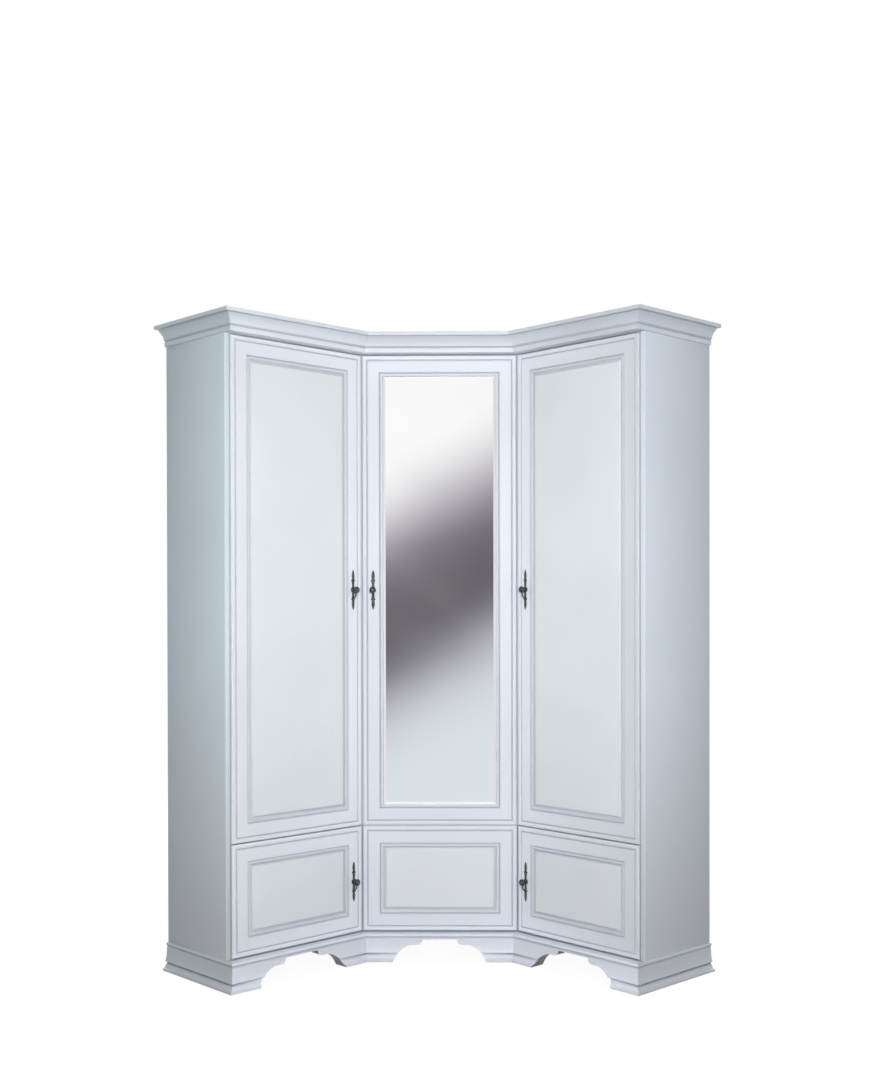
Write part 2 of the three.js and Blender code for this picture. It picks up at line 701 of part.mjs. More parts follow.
// Pieces behind and across the middle front
function centre() {
  const group = new THREE.Group();
  const rear = wallFace - seat;
  const floorPlan = centrePlan(doorLead, seat / 2, rear);
  const shelfPlan = centrePlan(insideFront + shelfSetback, boardThickness / 2 + seat, rear);
  const hatShelfBottom = corniceBottom - hatShelfDrop;
  group.add(
    piece("centre_bottom", prism(floorPlan, boardBottom, plinthHeight), carcassBoard),
    piece("centre_top", prism(floorPlan, corniceBottom, boardTop), carcassBoard),
    piece("hat_shelf", prism(shelfPlan, hatShelfBottom, hatShelfBottom + boardThickness), carcassBoard),
    centreRail(),
  );

  const legBack = halfCentre + rear * Math.SQRT2 - legSetback - legWidth / 2;
  const leg = board(-legWidth / 2, legWidth / 2, legBack - legWidth, legBack, 0, boardBottom - seat);
  group.add(piece("corner_leg", leg, fibreBoard));

  const cornice = piece("cornice_centre", centreTrim(corniceProfile), paintedWood);
  cornice.position.z = corniceBottom;
  const skirt = cut(centreTrim(plinthProfile), archCutter(0, centreArchWidth));
  group.add(cornice, piece("plinth_centre", skirt, paintedWood));

  group.add(...centreDoor());
  group.add(handle("handle_centre", doorGap / 2 + handleIn - halfCentre, upperHandleHeight));
  const hung = new THREE.Group();
  hung.position.x = halfCentre;
  hung.rotation.z = -wingTurn;
  hingeHeights(doorBottom, doorTop, 3).forEach((z, i) => {
    const arm = hingeArm("hinge_centre_" + (i + 1), centreArm, centrePlateBack, -1, z);
    arm.position.x = -boardThickness / 2;
    hung.add(arm);
  });
  group.add(hung);
  return group;
}

const wardrobe = new THREE.Group();
wardrobe.position.y = -originDepth;
wardrobe.add(wing(-1), wing(1), centre());

export default wardrobe;
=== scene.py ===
"""Looks of the corner wardrobe: moulded fronts, patina, mirror, handles and fittings around the CAD frame."""

import json
import math

import bmesh
import bpy
from mathutils import Matrix, Vector


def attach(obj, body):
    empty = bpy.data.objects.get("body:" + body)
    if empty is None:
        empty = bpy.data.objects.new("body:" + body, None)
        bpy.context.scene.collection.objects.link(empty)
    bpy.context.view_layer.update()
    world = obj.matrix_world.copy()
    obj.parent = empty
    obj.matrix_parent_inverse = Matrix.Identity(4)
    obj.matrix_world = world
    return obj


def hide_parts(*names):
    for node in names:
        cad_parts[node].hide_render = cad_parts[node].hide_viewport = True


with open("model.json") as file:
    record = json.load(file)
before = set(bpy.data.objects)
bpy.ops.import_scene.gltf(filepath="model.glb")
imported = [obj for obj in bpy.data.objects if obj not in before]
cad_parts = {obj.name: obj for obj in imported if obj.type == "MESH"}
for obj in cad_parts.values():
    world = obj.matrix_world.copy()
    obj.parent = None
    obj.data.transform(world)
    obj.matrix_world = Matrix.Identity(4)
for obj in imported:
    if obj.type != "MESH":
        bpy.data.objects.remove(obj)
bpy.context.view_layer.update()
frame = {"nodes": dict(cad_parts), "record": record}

# Sizes in millimetres, as in the CAD source
MM = 0.001
HEIGHT = 2200
CENTRE_WIDTH = 548
WING_WIDTH = 546
SIDE_DEPTH = 360
PLINTH = 95
SPLIT = 470.5
CORNICE = 66
BOARD = 18
DOOR = 22
GAP = 3
LEAD = 8
BUFFER = 2
SEAT = 0.2
FRONT_LEAD = 30
CORNICE_OUT = 48
FOOT_OUT = 22
LIP = 13
HALF = CENTRE_WIDTH / 2
PANEL_INNER = WING_WIDTH + GAP / 2
PANEL_OUTER = PANEL_INNER + BOARD
TIP_DEPTH = (PANEL_OUTER + FRONT_LEAD + 2 * CORNICE_OUT) * math.sqrt(0.5)
ORIGIN_DEPTH = (HALF + SIDE_DEPTH * math.sqrt(2) - TIP_DEPTH) / 2
CORNICE_BOTTOM = HEIGHT - CORNICE
DOOR_BOTTOM = PLINTH + GAP
DOOR_TOP = CORNICE_BOTTOM - GAP
LOWER_TOP = SPLIT - GAP / 2
UPPER_BOTTOM = SPLIT + GAP / 2
TRIM_BACK = LEAD - SEAT
INNER_MITRE = math.tan(math.pi / 8)
REBATE = 65
HANDLE_IN = 38
UPPER_HANDLE = 1304
LOWER_HANDLE = 278
CENTRE_ARCH = 327
WING_ARCH = 356
ARCH_INSET = 12
WORD = {-1: "left", 1: "right"}

# Carcass and fittings
BACK = 6
REAR = SIDE_DEPTH - BACK - SEAT
INSIDE_FRONT = DOOR + BUFFER
INSIDE_TOP = CORNICE_BOTTOM - SEAT
BOARD_TOP = CORNICE_BOTTOM + BOARD
BOARD_BOTTOM = PLINTH - BOARD
ROOM_CORNER = HALF * math.sqrt(2) + SIDE_DEPTH
SPAN = (BOARD / 2 + SEAT, PANEL_INNER - SEAT)
SHELF_SETBACK = 12
SHELVES = [SPLIT + share * (CORNICE_BOTTOM - SPLIT) for share in (0.32, 0.63)]
HAT_SHELF = CORNICE_BOTTOM - 278
WING_RAIL = CORNICE_BOTTOM - 88
CENTRE_RAIL = CORNICE_BOTTOM - 338
CENTRE_RAIL_BACK = 190
RAIL = 12.5
EASED_BAND = 1.1
LEG = 60
LEG_BACK = 70
HINGE_END = 110
HINGE_PLATE = 46
ARM_START = SEAT + 1.5
ARM_FACE = SEAT + 11.5
CUP_IN = 22
CUP_HOLLOW = 14.4
PAD_IN = 14
CLIP = 1.2
CLIP_HALF = 7
CLIP_SCREW = 9
CLIP_END = 160
CLIP_COUNT = 5
TOP_CLIP = 110
HOLE = 2.5
HOLE_START = 560
HOLE_STEP = 32
HOLE_COUNT = 46
HOLE_ROWS = (INSIDE_FRONT + 49, REAR - 50)
PIN = 9
NAIL_STEP = 140
NAIL_COUNT = 15
NAILS_ACROSS = 7
PLATE_HALF = 70
PLATE_BACK = 0.8
PLATE_STEPS = 112
LEAF_FOOT = 43
LEAF_TIP = 68
BEAD = 33
HANDLE_SCREW = 50

CENTRE = Matrix.Translation((0, -ORIGIN_DEPTH * MM, 0)) @ Matrix.Scale(MM, 4)


def in_wing(side):
    """Places millimetres of one wing, x along its front and y into it, in the row frame."""
    corner = Matrix.Translation((side * HALF * MM, -ORIGIN_DEPTH * MM, 0))
    return corner @ Matrix.Rotation(-side * math.pi / 4, 4, "Z") @ Matrix.Scale(MM, 4)


def beside(side):
    """The same for a wing's outer side, with x from its front to the wall."""
    outer = Matrix.Translation((side * PANEL_OUTER, 0, 0))
    return in_wing(side) @ outer @ Matrix.Rotation(side * math.pi / 2, 4, "Z")


# Node helpers
def new_material(name):
    material = bpy.data.materials.new(name)
    material.use_nodes = True
    tree = material.node_tree
    return material, tree, tree.nodes["Principled BSDF"]


def add(tree, kind, **settings):
    node = tree.nodes.new(kind)
    for key, value in settings.items():
        setattr(node, key, value)
    return node


def put(tree, node, socket, value):
    if isinstance(value, bpy.types.NodeSocket):
        tree.links.new(value, node.inputs[socket])
    else:
        node.inputs[socket].default_value = value


def noise(tree, scale, detail=3.0, roughness=0.5, stretch=(1, 1, 1)):
    coords = add(tree, "ShaderNodeTexCoord")
    mapping = add(tree, "ShaderNodeMapping")
    put(tree, mapping, "Vector", coords.outputs["Object"])
    put(tree, mapping, "Scale", stretch)
    texture = add(tree, "ShaderNodeTexNoise")
    put(tree, texture, "Vector", mapping.outputs["Vector"])
    put(tree, texture, "Scale", scale)
    put(tree, texture, "Detail", detail)
    put(tree, texture, "Roughness", roughness)
    return texture.outputs["Fac"]


def scaled(tree, value, low, high, to_low, to_high):
    node = add(tree, "ShaderNodeMapRange", clamp=True)
    put(tree, node, "Value", value)
    for socket, number in zip(("From Min", "From Max", "To Min", "To Max"), (low, high, to_low, to_high)):
        put(tree, node, socket, number)
    return node.outputs["Result"]


def maths(tree, operation, a, b):
    node = add(tree, "ShaderNodeMath", operation=operation, use_clamp=operation != "MULTIPLY_ADD")
    put(tree, node, 0, a)
    put(tree, node, 1, b)
    return node.outputs[0]


def mixed(tree, factor, a, b, blend="MIX"):
    node = add(tree, "ShaderNodeMix", data_type="RGBA", blend_type=blend)
    put(tree, node, 0, factor)
    put(tree, node, 6, a)
    put(tree, node, 7, b)
    return node.outputs[2]


def bumped(tree, shader, height, strength, distance):
    node = add(tree, "ShaderNodeBump")
    put(tree, node, "Height", height)
    node.inputs["Strength"].default_value = strength
    node.inputs["Distance"].default_value = distance
    tree.links.new(node.outputs["Normal"], shader.inputs["Normal"])


def attribute(tree, name):
    return add(tree, "ShaderNodeAttribute", attribute_name=name).outputs["Fac"]


def bare_material(name):
    """A material without nodes, for the stage."""
    material = bpy.data.materials.new(name)
    material.use_nodes = True
    material.node_tree.nodes.clear()
    return material, material.node_tree


def blended(tree, factor, one, other):
    node = add(tree, "ShaderNodeMixShader")
    for socket, source in enumerate((factor, one.outputs[0], other.outputs[0])):
        tree.links.new(source, node.inputs[socket])
    return node


def shown(tree, shader, kind="ShaderNodeOutputMaterial"):
    tree.links.new(shader.outputs[0], add(tree, kind).inputs["Surface"])


def place_along(tree, axis):
    coords = add(tree, "ShaderNodeTexCoord")
    split = add(tree, "ShaderNodeSeparateXYZ")
    tree.links.new(coords.outputs["Object"], split.inputs[0])
    return split.outputs[axis]


# Materials
# Silver of the patina, also used for painted shade, and a dark grey for painted deep shade
SILVER_PATINA_AND_SHADE = (0.455, 0.475, 0.54, 1)
DEEP_SHADE = (0.09, 0.095, 0.11, 1)


def along(tree, axis, stops):
    """A grey that changes with an object's coordinate along an axis, from (place, tone) stops, used as
    painted light and shade.
    """
    low, high = stops[0][0], stops[-1][0]
    ramp = add(tree, "ShaderNodeValToRGB")
    put(tree, ramp, "Fac", scaled(tree, place_along(tree, axis), low, high, 0, 1))
    elements = ramp.color_ramp.elements
    elements[0].color = [stops[0][1]] * 3 + [1]
    elements[1].color = [stops[-1][1]] * 3 + [1]
    for place, tone in stops[1:-1]:
        elements.new((place - low) / (high - low)).color = (tone, tone, tone, 1)
    return ramp.outputs["Color"]


def lacquer(name, white, shade, patina_and_shade=SILVER_PATINA_AND_SHADE, painted_floor_shade=None, painted_falloffs=()):
    """Brushed satin lacquer with silver patina left in the hollows. The per-vertex value also marks painted
    shade: there the same silver stands for shade, and values past 1 mix on to a painted deep shade.

    painted_floor_shade is the tone near the floor, painted shade, and painted_falloffs are slow changes of
    tone, as (axis, stops), painted light and shade."""
    material, tree, shader = new_material(name)
    soft = noise(tree, 2.2, 2.0)
    brushed = noise(tree, 1.0, 4.0, 0.6, stretch=(420, 420, 9))
    speck = noise(tree, 900, 2.0)
    ground = mixed(tree, scaled(tree, soft, 0.35, 0.65, 0, 1), shade, white)
    streaked = mixed(tree, scaled(tree, brushed, 0.35, 0.7, 0, 0.35), ground, shade)
    # Darker towards the floor: painted shade
    if painted_floor_shade:
        streaked = mixed(tree, scaled(tree, place_along(tree, "Z"), 0.2, 1.0, 1, 0), streaked, painted_floor_shade)
    # Slow changes of tone along an axis: painted light and shade
    for axis, stops in painted_falloffs:
        streaked = mixed(tree, 1.0, streaked, along(tree, axis, stops), "MULTIPLY")
    # The per-vertex value: silver patina in the hollows, and painted shade on door edges, undersides, ledges
    # and posts seen in gaps
    hollow = attribute(tree, "patina_and_shade")
    broken = scaled(tree, speck, 0.3, 0.7, 0.8, 1.15)
    cover = maths(tree, "MULTIPLY", hollow, broken)
    colour = mixed(tree, cover, streaked, patina_and_shade)
    # Values past 1 mix on to the dark grey: painted deep shade
    put(tree, shader, "Base Color", mixed(tree, scaled(tree, hollow, 1, 2, 0, 1), colour, DEEP_SHADE))
    rough = scaled(tree, brushed, 0.3, 0.7, 0.34, 0.46)
    put(tree, shader, "Roughness", maths(tree, "ADD", rough, maths(tree, "MULTIPLY", hollow, 0.12)))
    shader.inputs["Specular IOR Level"].default_value = 0.3
    bumped(tree, shader, brushed, 0.12, 0.0004)
    return material


# The lacquer comes in lighter and darker copies per part, some with falloffs along x or z: painted light and
# shade for how light falls on each part. The side panels' copies are darker, the left more than the right,
# and darker near the floor: painted shade.
FRAME_PAINT = lacquer("satin_white_lacquer", (0.74, 0.775, 0.85, 1), (0.705, 0.74, 0.815, 1))
WING_PAINT = lacquer(
    "satin_wing_lacquer", (0.84, 0.87, 0.935, 1), (0.80, 0.83, 0.895, 1),
    painted_falloffs=[("X", [(-0.66, 0.885), (-0.27, 0.985), (0.27, 0.985), (0.66, 0.76)])])
CENTRE_PAINT = lacquer(
    "satin_centre_lacquer", (0.744, 0.78, 0.85, 1), (0.709, 0.745, 0.815, 1),
    painted_falloffs=[("Z", [(0.45, 1.0), (0.9, 0.915), (1.9, 0.915), (2.1, 1.0)])])
CORNICE_PAINT = lacquer(
    "satin_cornice_lacquer", (0.74, 0.785, 0.84, 1), (0.705, 0.75, 0.805, 1),
    painted_falloffs=[("X", [(-0.5, 1.02), (-0.2, 1.0), (0.25, 1.0), (0.5, 0.79)])])
FIELD_PAINT = lacquer("satin_panel_lacquer", (0.745, 0.79, 0.815, 1), (0.70, 0.745, 0.77, 1))
LOWER_FIELD_PAINT = lacquer(
    "satin_lower_panel_lacquer", (0.758, 0.785, 0.822, 1), (0.713, 0.74, 0.777, 1),
    painted_falloffs=[("X", [(-0.66, 1.0), (0.25, 1.0), (0.66, 0.92)])])
SHADED_SIDE_PAINT = {
    -1: lacquer(
        "satin_left_side_lacquer", (0.66, 0.76, 0.82, 1), (0.63, 0.725, 0.785, 1),
        painted_floor_shade=(0.57, 0.60, 0.64, 1), painted_falloffs=[("X", [(-0.93, 1.0), (-0.62, 0.95)])]),
    1: lacquer(
        "satin_right_side_lacquer", (0.725, 0.785, 0.865, 1), (0.69, 0.75, 0.83, 1),
        painted_floor_shade=(0.61, 0.635, 0.68, 1), painted_falloffs=[("X", [(0.62, 0.93), (0.93, 1.04)])]),
}
# A dark copy of the white lacquer for the arches' cut faces: painted shade
CUT_FACE_SHADE = lacquer("shaded_cut_edge", (0.27, 0.275, 0.29, 1), (0.22, 0.225, 0.24, 1))


def white_board():
    """Pearl white melamine. Faces with the band attribute carry a smoother edge band."""
    material, tree, shader = new_material("white_melamine_board")
    band = attribute(tree, "band")
    pearl = noise(tree, 1.0, 3.0, 0.55, stretch=(300, 300, 25))
    fine = noise(tree, 700, 2.0)
    face = mixed(tree, pearl, (0.74, 0.755, 0.77, 1), (0.82, 0.83, 0.84, 1))
    put(tree, shader, "Base Color", mixed(tree, band, face, (0.70, 0.715, 0.735, 1)))
    rough = scaled(tree, fine, 0.3, 0.7, 0.42, 0.58)
    put(tree, shader, "Roughness", maths(tree, "SUBTRACT", rough, maths(tree, "MULTIPLY", band, 0.14)))
    bumped(tree, shader, fine, 0.2, 0.0003)
    return material


def fibre_board():
    material, tree, shader = new_material("raw_fibre_board")
    fibres = noise(tree, 1.0, 5.0, 0.7, stretch=(380, 380, 120))
    clouds = noise(tree, 14, 3.0)
    brown = mixed(tree, fibres, (0.20, 0.125, 0.07, 1), (0.36, 0.25, 0.155, 1))
    patches = scaled(tree, clouds, 0.3, 0.7, 0, 0.4)
    put(tree, shader, "Base Color", mixed(tree, patches, brown, (0.27, 0.18, 0.11, 1)))
    shader.inputs["Roughness"].default_value = 0.88
    bumped(tree, shader, fibres, 0.5, 0.0006)
    return material


def mirror_glass():
    material, tree, shader = new_material("silvered_mirror")
    haze = noise(tree, 5, 2.0)
    put(tree, shader, "Base Color", mixed(tree, haze, (0.945, 0.955, 0.955, 1), (0.965, 0.97, 0.968, 1)))
    shader.inputs["Metallic"].default_value = 1
    put(tree, shader, "Roughness", scaled(tree, haze, 0.3, 0.7, 0.012, 0.03))
    return material


def pewter():
    """Dark antique silver, rubbed bright where a hand touches it."""
    material, tree, shader = new_material("antique_pewter")
    grain = noise(tree, 420, 4.0, 0.65)
    cloud = noise(tree, 90, 3.0)
    wear = attribute(tree, "wear")
    dark = mixed(tree, scaled(tree, cloud, 0.3, 0.7, 0, 1), (0.022, 0.025, 0.03, 1), (0.06, 0.064, 0.075, 1))
    rubbed = maths(tree, "MULTIPLY", wear, scaled(tree, grain, 0.3, 0.65, 0.35, 1.0))
    put(tree, shader, "Base Color", mixed(tree, rubbed, dark, (0.20, 0.205, 0.22, 1)))
    shader.inputs["Metallic"].default_value = 0.85
    put(tree, shader, "Roughness", scaled(tree, grain, 0.3, 0.7, 0.3, 0.52))
    bumped(tree, shader, grain, 0.35, 0.0004)
    return material


def bright_metal(name, colour, low, high):
    material, tree, shader = new_material(name)
    brushed = noise(tree, 1.0, 4.0, 0.6, stretch=(900, 900, 60))
    smudge = noise(tree, 26, 3.0)
    put(tree, shader, "Base Color", mixed(tree, smudge, [c * 0.9 for c in colour[:3]] + [1], colour))
    shader.inputs["Metallic"].default_value = 1
    put(tree, shader, "Roughness", scaled(tree, brushed, 0.3, 0.7, low, high))
    bumped(tree, shader, brushed, 0.06, 0.0002)
    return material


def plain(name, colour, shade, low, high):
    """A dull material with fine grain."""
    material, tree, shader = new_material(name)
    grain = noise(tree, 500, 3.0)
    put(tree, shader, "Base Color", mixed(tree, grain, shade, colour))
    put(tree, shader, "Roughness", scaled(tree, grain, 0.3, 0.7, low, high))
    bumped(tree, shader, grain, 0.2, 0.0003)
    return material


# Dark rubber for the buffers, also used for a dark strip that stands for shade in a gap
RUBBER_AND_GAP_SHADE = plain("grey_rubber_and_gap_shade", (0.10, 0.105, 0.12, 1), (0.07, 0.075, 0.085, 1), 0.6, 0.75)
# Dark discs for bored holes and the hinge cups' recesses: painted shade in the holes
HOLE_SHADE = plain("bored_hole_shade", (0.17, 0.155, 0.14, 1), (0.11, 0.10, 0.09, 1), 0.8, 0.95)
BOARD_WHITE = white_board()
FIBRE = fibre_board()
MIRROR = mirror_glass()
PEWTER = pewter()
NICKEL = bright_metal("nickel_plated_steel", (0.66, 0.67, 0.68, 1), 0.2, 0.34)
CHROME = bright_metal("polished_chrome", (0.80, 0.81, 0.83, 1), 0.06, 0.16)
SLOT_MATERIAL = {
    "painted_wood": FRAME_PAINT,
    "carcass_board": BOARD_WHITE,
    "silver_glass": MIRROR,
    "fibre_board": FIBRE,
    "aged_pewter": PEWTER,
    "hinge_steel": NICKEL,
    "chrome_rail": CHROME,
}
NODE_SLOT = {part["node"]: part["material_slot"] for part in frame["record"]["subparts"]}


# Sections and forms
class Section:
    """A moulding's section as points (a, b, patina), with straight and curved stretches."""

    def __init__(self, a, b, patina_and_shade=0.0):
        self.points = [(a, b, patina_and_shade)]

    def line(self, a, b, patina_and_shade=0.0):
        self.points.append((a, b, patina_and_shade))
        return self

    def curve(self, via_a, via_b, a, b, patina_and_shade=0.0, power=1.0, steps=8):
        a0, b0, p0 = self.points[-1]
        for i in range(1, steps + 1):
            t = i / steps
            u = 1 - t
            eased_t = t ** power if patina_and_shade >= p0 else 1 - u ** power
            self.points.append(
                (u * u * a0 + 2 * u * t * via_a + t * t * a, u * u * b0 + 2 * u * t * via_b + t * t * b,
                 p0 + (patina_and_shade - p0) * eased_t))
        return self


def rectangle(x0, x1, y0, y1):
    return [(x0, y0), (x1, y0), (x1, y1), (x0, y1)]


def circle(radius, steps):
    turns = [2 * math.pi * k / steps for k in range(steps)]
    return [(radius * math.cos(turn), radius * math.sin(turn)) for turn in turns]


def at(x, y, z):
    return Matrix.Translation((x, y, z))


TOWARD_X = Matrix.Rotation(math.pi / 2, 4, "Z")
TOWARD_MINUS_X = Matrix.Rotation(-math.pi / 2, 4, "Z")
TOWARD_BACK = Matrix.Rotation(math.pi, 4, "Z")


class Form:
    """A piece in the making: a bmesh in millimetres, with a value for its finish on each vertex."""

    def __init__(self, value_name="patina_and_shade"):
        self.mesh = bmesh.new()
        self.layer = self.mesh.verts.layers.float.new(value_name)

    def corner(self, point, value):
        vertex = self.mesh.verts.new(point)
        vertex[self.layer] = value
        return vertex

    def ring(self, corners):
        """Vertices at (point, value) corners."""
        return [self.corner(point, value) for point, value in corners]

    def join(self, rings, closed=False):
        """Joins rings one after the other, and the last to the first if closed."""
        following = rings[1:] + rings[:1] if closed else rings[1:]
        for one, other in zip(rings, following):
            for k in range(len(one)):
                m = (k + 1) % len(one)
                self.mesh.faces.new((one[k], one[m], other[m], other[k]))

    def shell(self, rings):
        """Joins rings and fills both ends."""
        self.join(rings)
        self.mesh.faces.new(rings[0])
        self.mesh.faces.new(rings[-1])

    def prism(self, plan, low, high, value=0.0):
        """A plan of (x, y) corners raised from one height to another."""
        self.shell([self.ring([((x, y, z), value) for x, y in plan]) for z in (low, high)])

    def mitred(self, width, length, section, closed, middle_x, middle_z):
        """Mitred rectangular loops, in from a door's edge by a and back from its face by b."""
        rings = []
        for a, b, patina_and_shade in section:
            x, z = width / 2 - a, length / 2 - a
            corners = ((-x, -z), (x, -z), (x, z), (-x, z))
            rings.append(self.ring([((middle_x + x, b, middle_z + z), patina_and_shade) for x, z in corners]))
        if closed:
            self.join(rings, True)
        else:
            self.shell(rings)

    def lathe(self, profile, steps, closed=False):
        """Turns (radius, y, value) points about the y axis. Unless closed, they start and end on it."""
        rings = [
            self.ring([((x, y, z), value) for x, z in circle(radius, steps)])
            for radius, y, value in (profile if closed else profile[1:-1])]
        self.join(rings, closed)
        if closed:
            return
        for (_, y, value), ring in ((profile[0], rings[0]), (profile[-1], rings[-1])):
            pole = self.corner((0, y, 0), value)
            for k in range(steps):
                self.mesh.faces.new((pole, ring[k], ring[(k + 1) % steps]))

    def rod(self, points, radii, segments=14, value=0.0):
        """A round rod along points, with a radius at each."""
        rings = []
        last = len(points) - 1
        for i, point in enumerate(points):
            ahead = Vector(points[min(i + 1, last)]) - Vector(points[max(i - 1, 0)])
            turn = at(*point) @ ahead.to_track_quat("Z", "X").to_matrix().to_4x4()
            around = circle(radii[i], segments)
            rings.append(self.ring([(turn @ Vector((x, y, 0)), value) for x, y in around]))
        self.shell(rings)

    def screw(self, radius, height):
        """A countersunk head with a hollow, its top toward -y."""
        self.lathe([(radius * out, -height * up, 0) for out, up in (
            (0, 0), (1, 0), (1, 0.5), (0.86, 1), (0.42, 1), (0.3, 0.35), (0, 0.3))], 16)

    def disc(self, radius, segments=12):
        """A thin disc in a surface, its top toward y."""
        self.shell([self.ring([((x, y, z), 0) for x, z in circle(radius, segments)]) for y in (0, 0.1)])

    def socket(self):
        """A rail's socket: a flange with a rounded edge and a collar, from the board toward -y."""
        self.lathe([(radius, y, 0) for radius, y in (
            (0, 0), (19, 0), (19, -2), (18, -3.2), (15.6, -3.6), (15.2, -7), (14.6, -7), (0, -7))], 40)

    def cup(self):
        """A hinge cup's rim on a door's back, with its two ears and screws."""
        self.lathe([(radius, y, 0) for radius, y in (
            (14.2, DOOR), (14.2, DOOR + 0.9), (17, DOOR + 0.9), (17.6, DOOR + 0.4), (17.6, DOOR))], 32, True)
        for end in (-1, 1):
            self.prism(rectangle(-7, 7, DOOR, DOOR + 0.8), *sorted((end * 16.5, end * 31)))
            self.put(at(0, DOOR + 0.8, end * 25) @ TOWARD_BACK, self.screw, 3.2, 0.6)

    def put(self, matrix, build, *sizes):
        """Builds a part with one of the methods above and moves it into place."""
        before = set(self.mesh.verts)
        build(*sizes)
        made = [vertex for vertex in self.mesh.verts if vertex not in before]
        bmesh.ops.transform(self.mesh, matrix=matrix, verts=made)

    def finished(self, name, place, material, body, slot, node=None, sharp=32):
        """Puts the form in place as an object of the wardrobe. node is the CAD node that it stands for."""
        bmesh.ops.transform(self.mesh, matrix=place, verts=self.mesh.verts)
        bmesh.ops.recalc_face_normals(self.mesh, faces=self.mesh.faces)
        mesh = bpy.data.meshes.new(name)
        self.mesh.to_mesh(mesh)
        self.mesh.free()
        mesh.shade_smooth()
        mesh.set_sharp_from_angle(angle=math.radians(sharp))
        mesh.materials.append(material)
        made = bpy.data.objects.new(name, mesh)
        bpy.context.scene.collection.objects.link(made)
        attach(made, body)
        if node:
            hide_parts(node)
        return made


# Doors
def frame_section(edge, ovolo):
    # edge is the value on the door's outer edge: painted shade for the dark gaps between doors
    return (
        Section(0, DOOR, 0.1)
        .line(0, DOOR - 0.8, edge)
        .line(0, 9, edge)
        .line(0, 6, 0.12)
        .curve(0, 0, 7.5, 0, 0, 0.6)
        .curve(15, 0, 15.5, 4, 0.95, 3.0)
        .line(16.5, 4.2, 1)
        .line(17.5, 4, 1)
        .line(19.2, 1.3, 0.45)
        .line(19.9, 1, 0.18)
        .line(24, 1, 0)
        .line(55, 1, 0)
        .line(58.6, 1, 0.12)
        .line(59.8, 1.2, 0.55)
        .line(62, 4.5, 0.85)
        .line(62.7, 3.6, 0.8)
        .curve(63.6, 0.9, 67.5, 1, ovolo, 1.4)
        .curve(73, 1, 73, 4.5, 0.6, 1.6)
        .line(73, 8, 0.8)
        .line(REBATE, 8, 0.3)
        .line(REBATE, DOOR, 0.1)
    ).points


def panel_section(bevel):
    # bevel is the value at the top of the panel's bevel, fading out down the slope: silver patina, raised on
    # the wings as painted shade that dims the bevel's highlight
    return (
        Section(REBATE + SEAT, 20.2)
        .line(REBATE + SEAT, 8.2, 0.3)
        .line(72, 8.2, 0.6)
        .line(76.4, 8.3, 0.65)
        .line(77.6, 8.1, 0.5)
        .line(78.6, 7.5, bevel)
        .curve(81.5, 2.7, 86.4, 2.5, 0.0, 1.0)
        .line(87, 2.5, 0)
        .line(90, 2.5, 0)
    ).points


def build_panel(label, body, place, middle_x, width, bottom, top):
    form = Form()
    # Darker bevels on the wings: painted shade
    bevel = 0.28 if label == "centre" else 0.55
    form.mitred(width, top - bottom, panel_section(bevel), False, middle_x, (bottom + top) / 2)
    paint = FIELD_PAINT if label.startswith("upper") else LOWER_FIELD_PAINT
    form.finished("panel_" + label, place, paint, body, "painted_wood", "door_panel_" + label)


def build_doors():
    width = WING_WIDTH - GAP
    for side, word in WORD.items():
        for level, low, high in (("lower", DOOR_BOTTOM, LOWER_TOP), ("upper", UPPER_BOTTOM, DOOR_TOP)):
            label = f"{level}_{word}"
            body = label + "_door"
            place = in_wing(side)
            middle_x = side * WING_WIDTH / 2
            # Painted shade on the outer edges for the gaps, darker on the lower doors
            edge = 1.0 if level == "lower" else 0.3
            build_panel(label, body, place, middle_x, width, low, high)
            form = Form()
            form.mitred(width, high - low, frame_section(edge, 0.42), True, middle_x, (low + high) / 2)
            form.finished("frame_" + label, place, WING_PAINT, body, "painted_wood", "door_frame_" + label)
    width = CENTRE_WIDTH - GAP
    build_panel("centre", "centre_door", CENTRE, 0, width, DOOR_BOTTOM, LOWER_TOP)
    form = Form()
    # Painted shade on the edges for the gaps, and on the strip between the two frames, seen in the gap
    for edge, low, high in ((0.5, DOOR_BOTTOM, LOWER_TOP), (0.25, UPPER_BOTTOM, DOOR_TOP)):
        form.mitred(width, high - low, frame_section(edge, 0.2), True, 0, (low + high) / 2)
    form.prism(rectangle(-width / 2, width / 2, 6, DOOR), LOWER_TOP - SEAT, UPPER_BOTTOM + SEAT, 1.0)
    form.finished("frame_centre", CENTRE, CENTRE_PAINT, "centre_door", "painted_wood", "door_frame_centre")


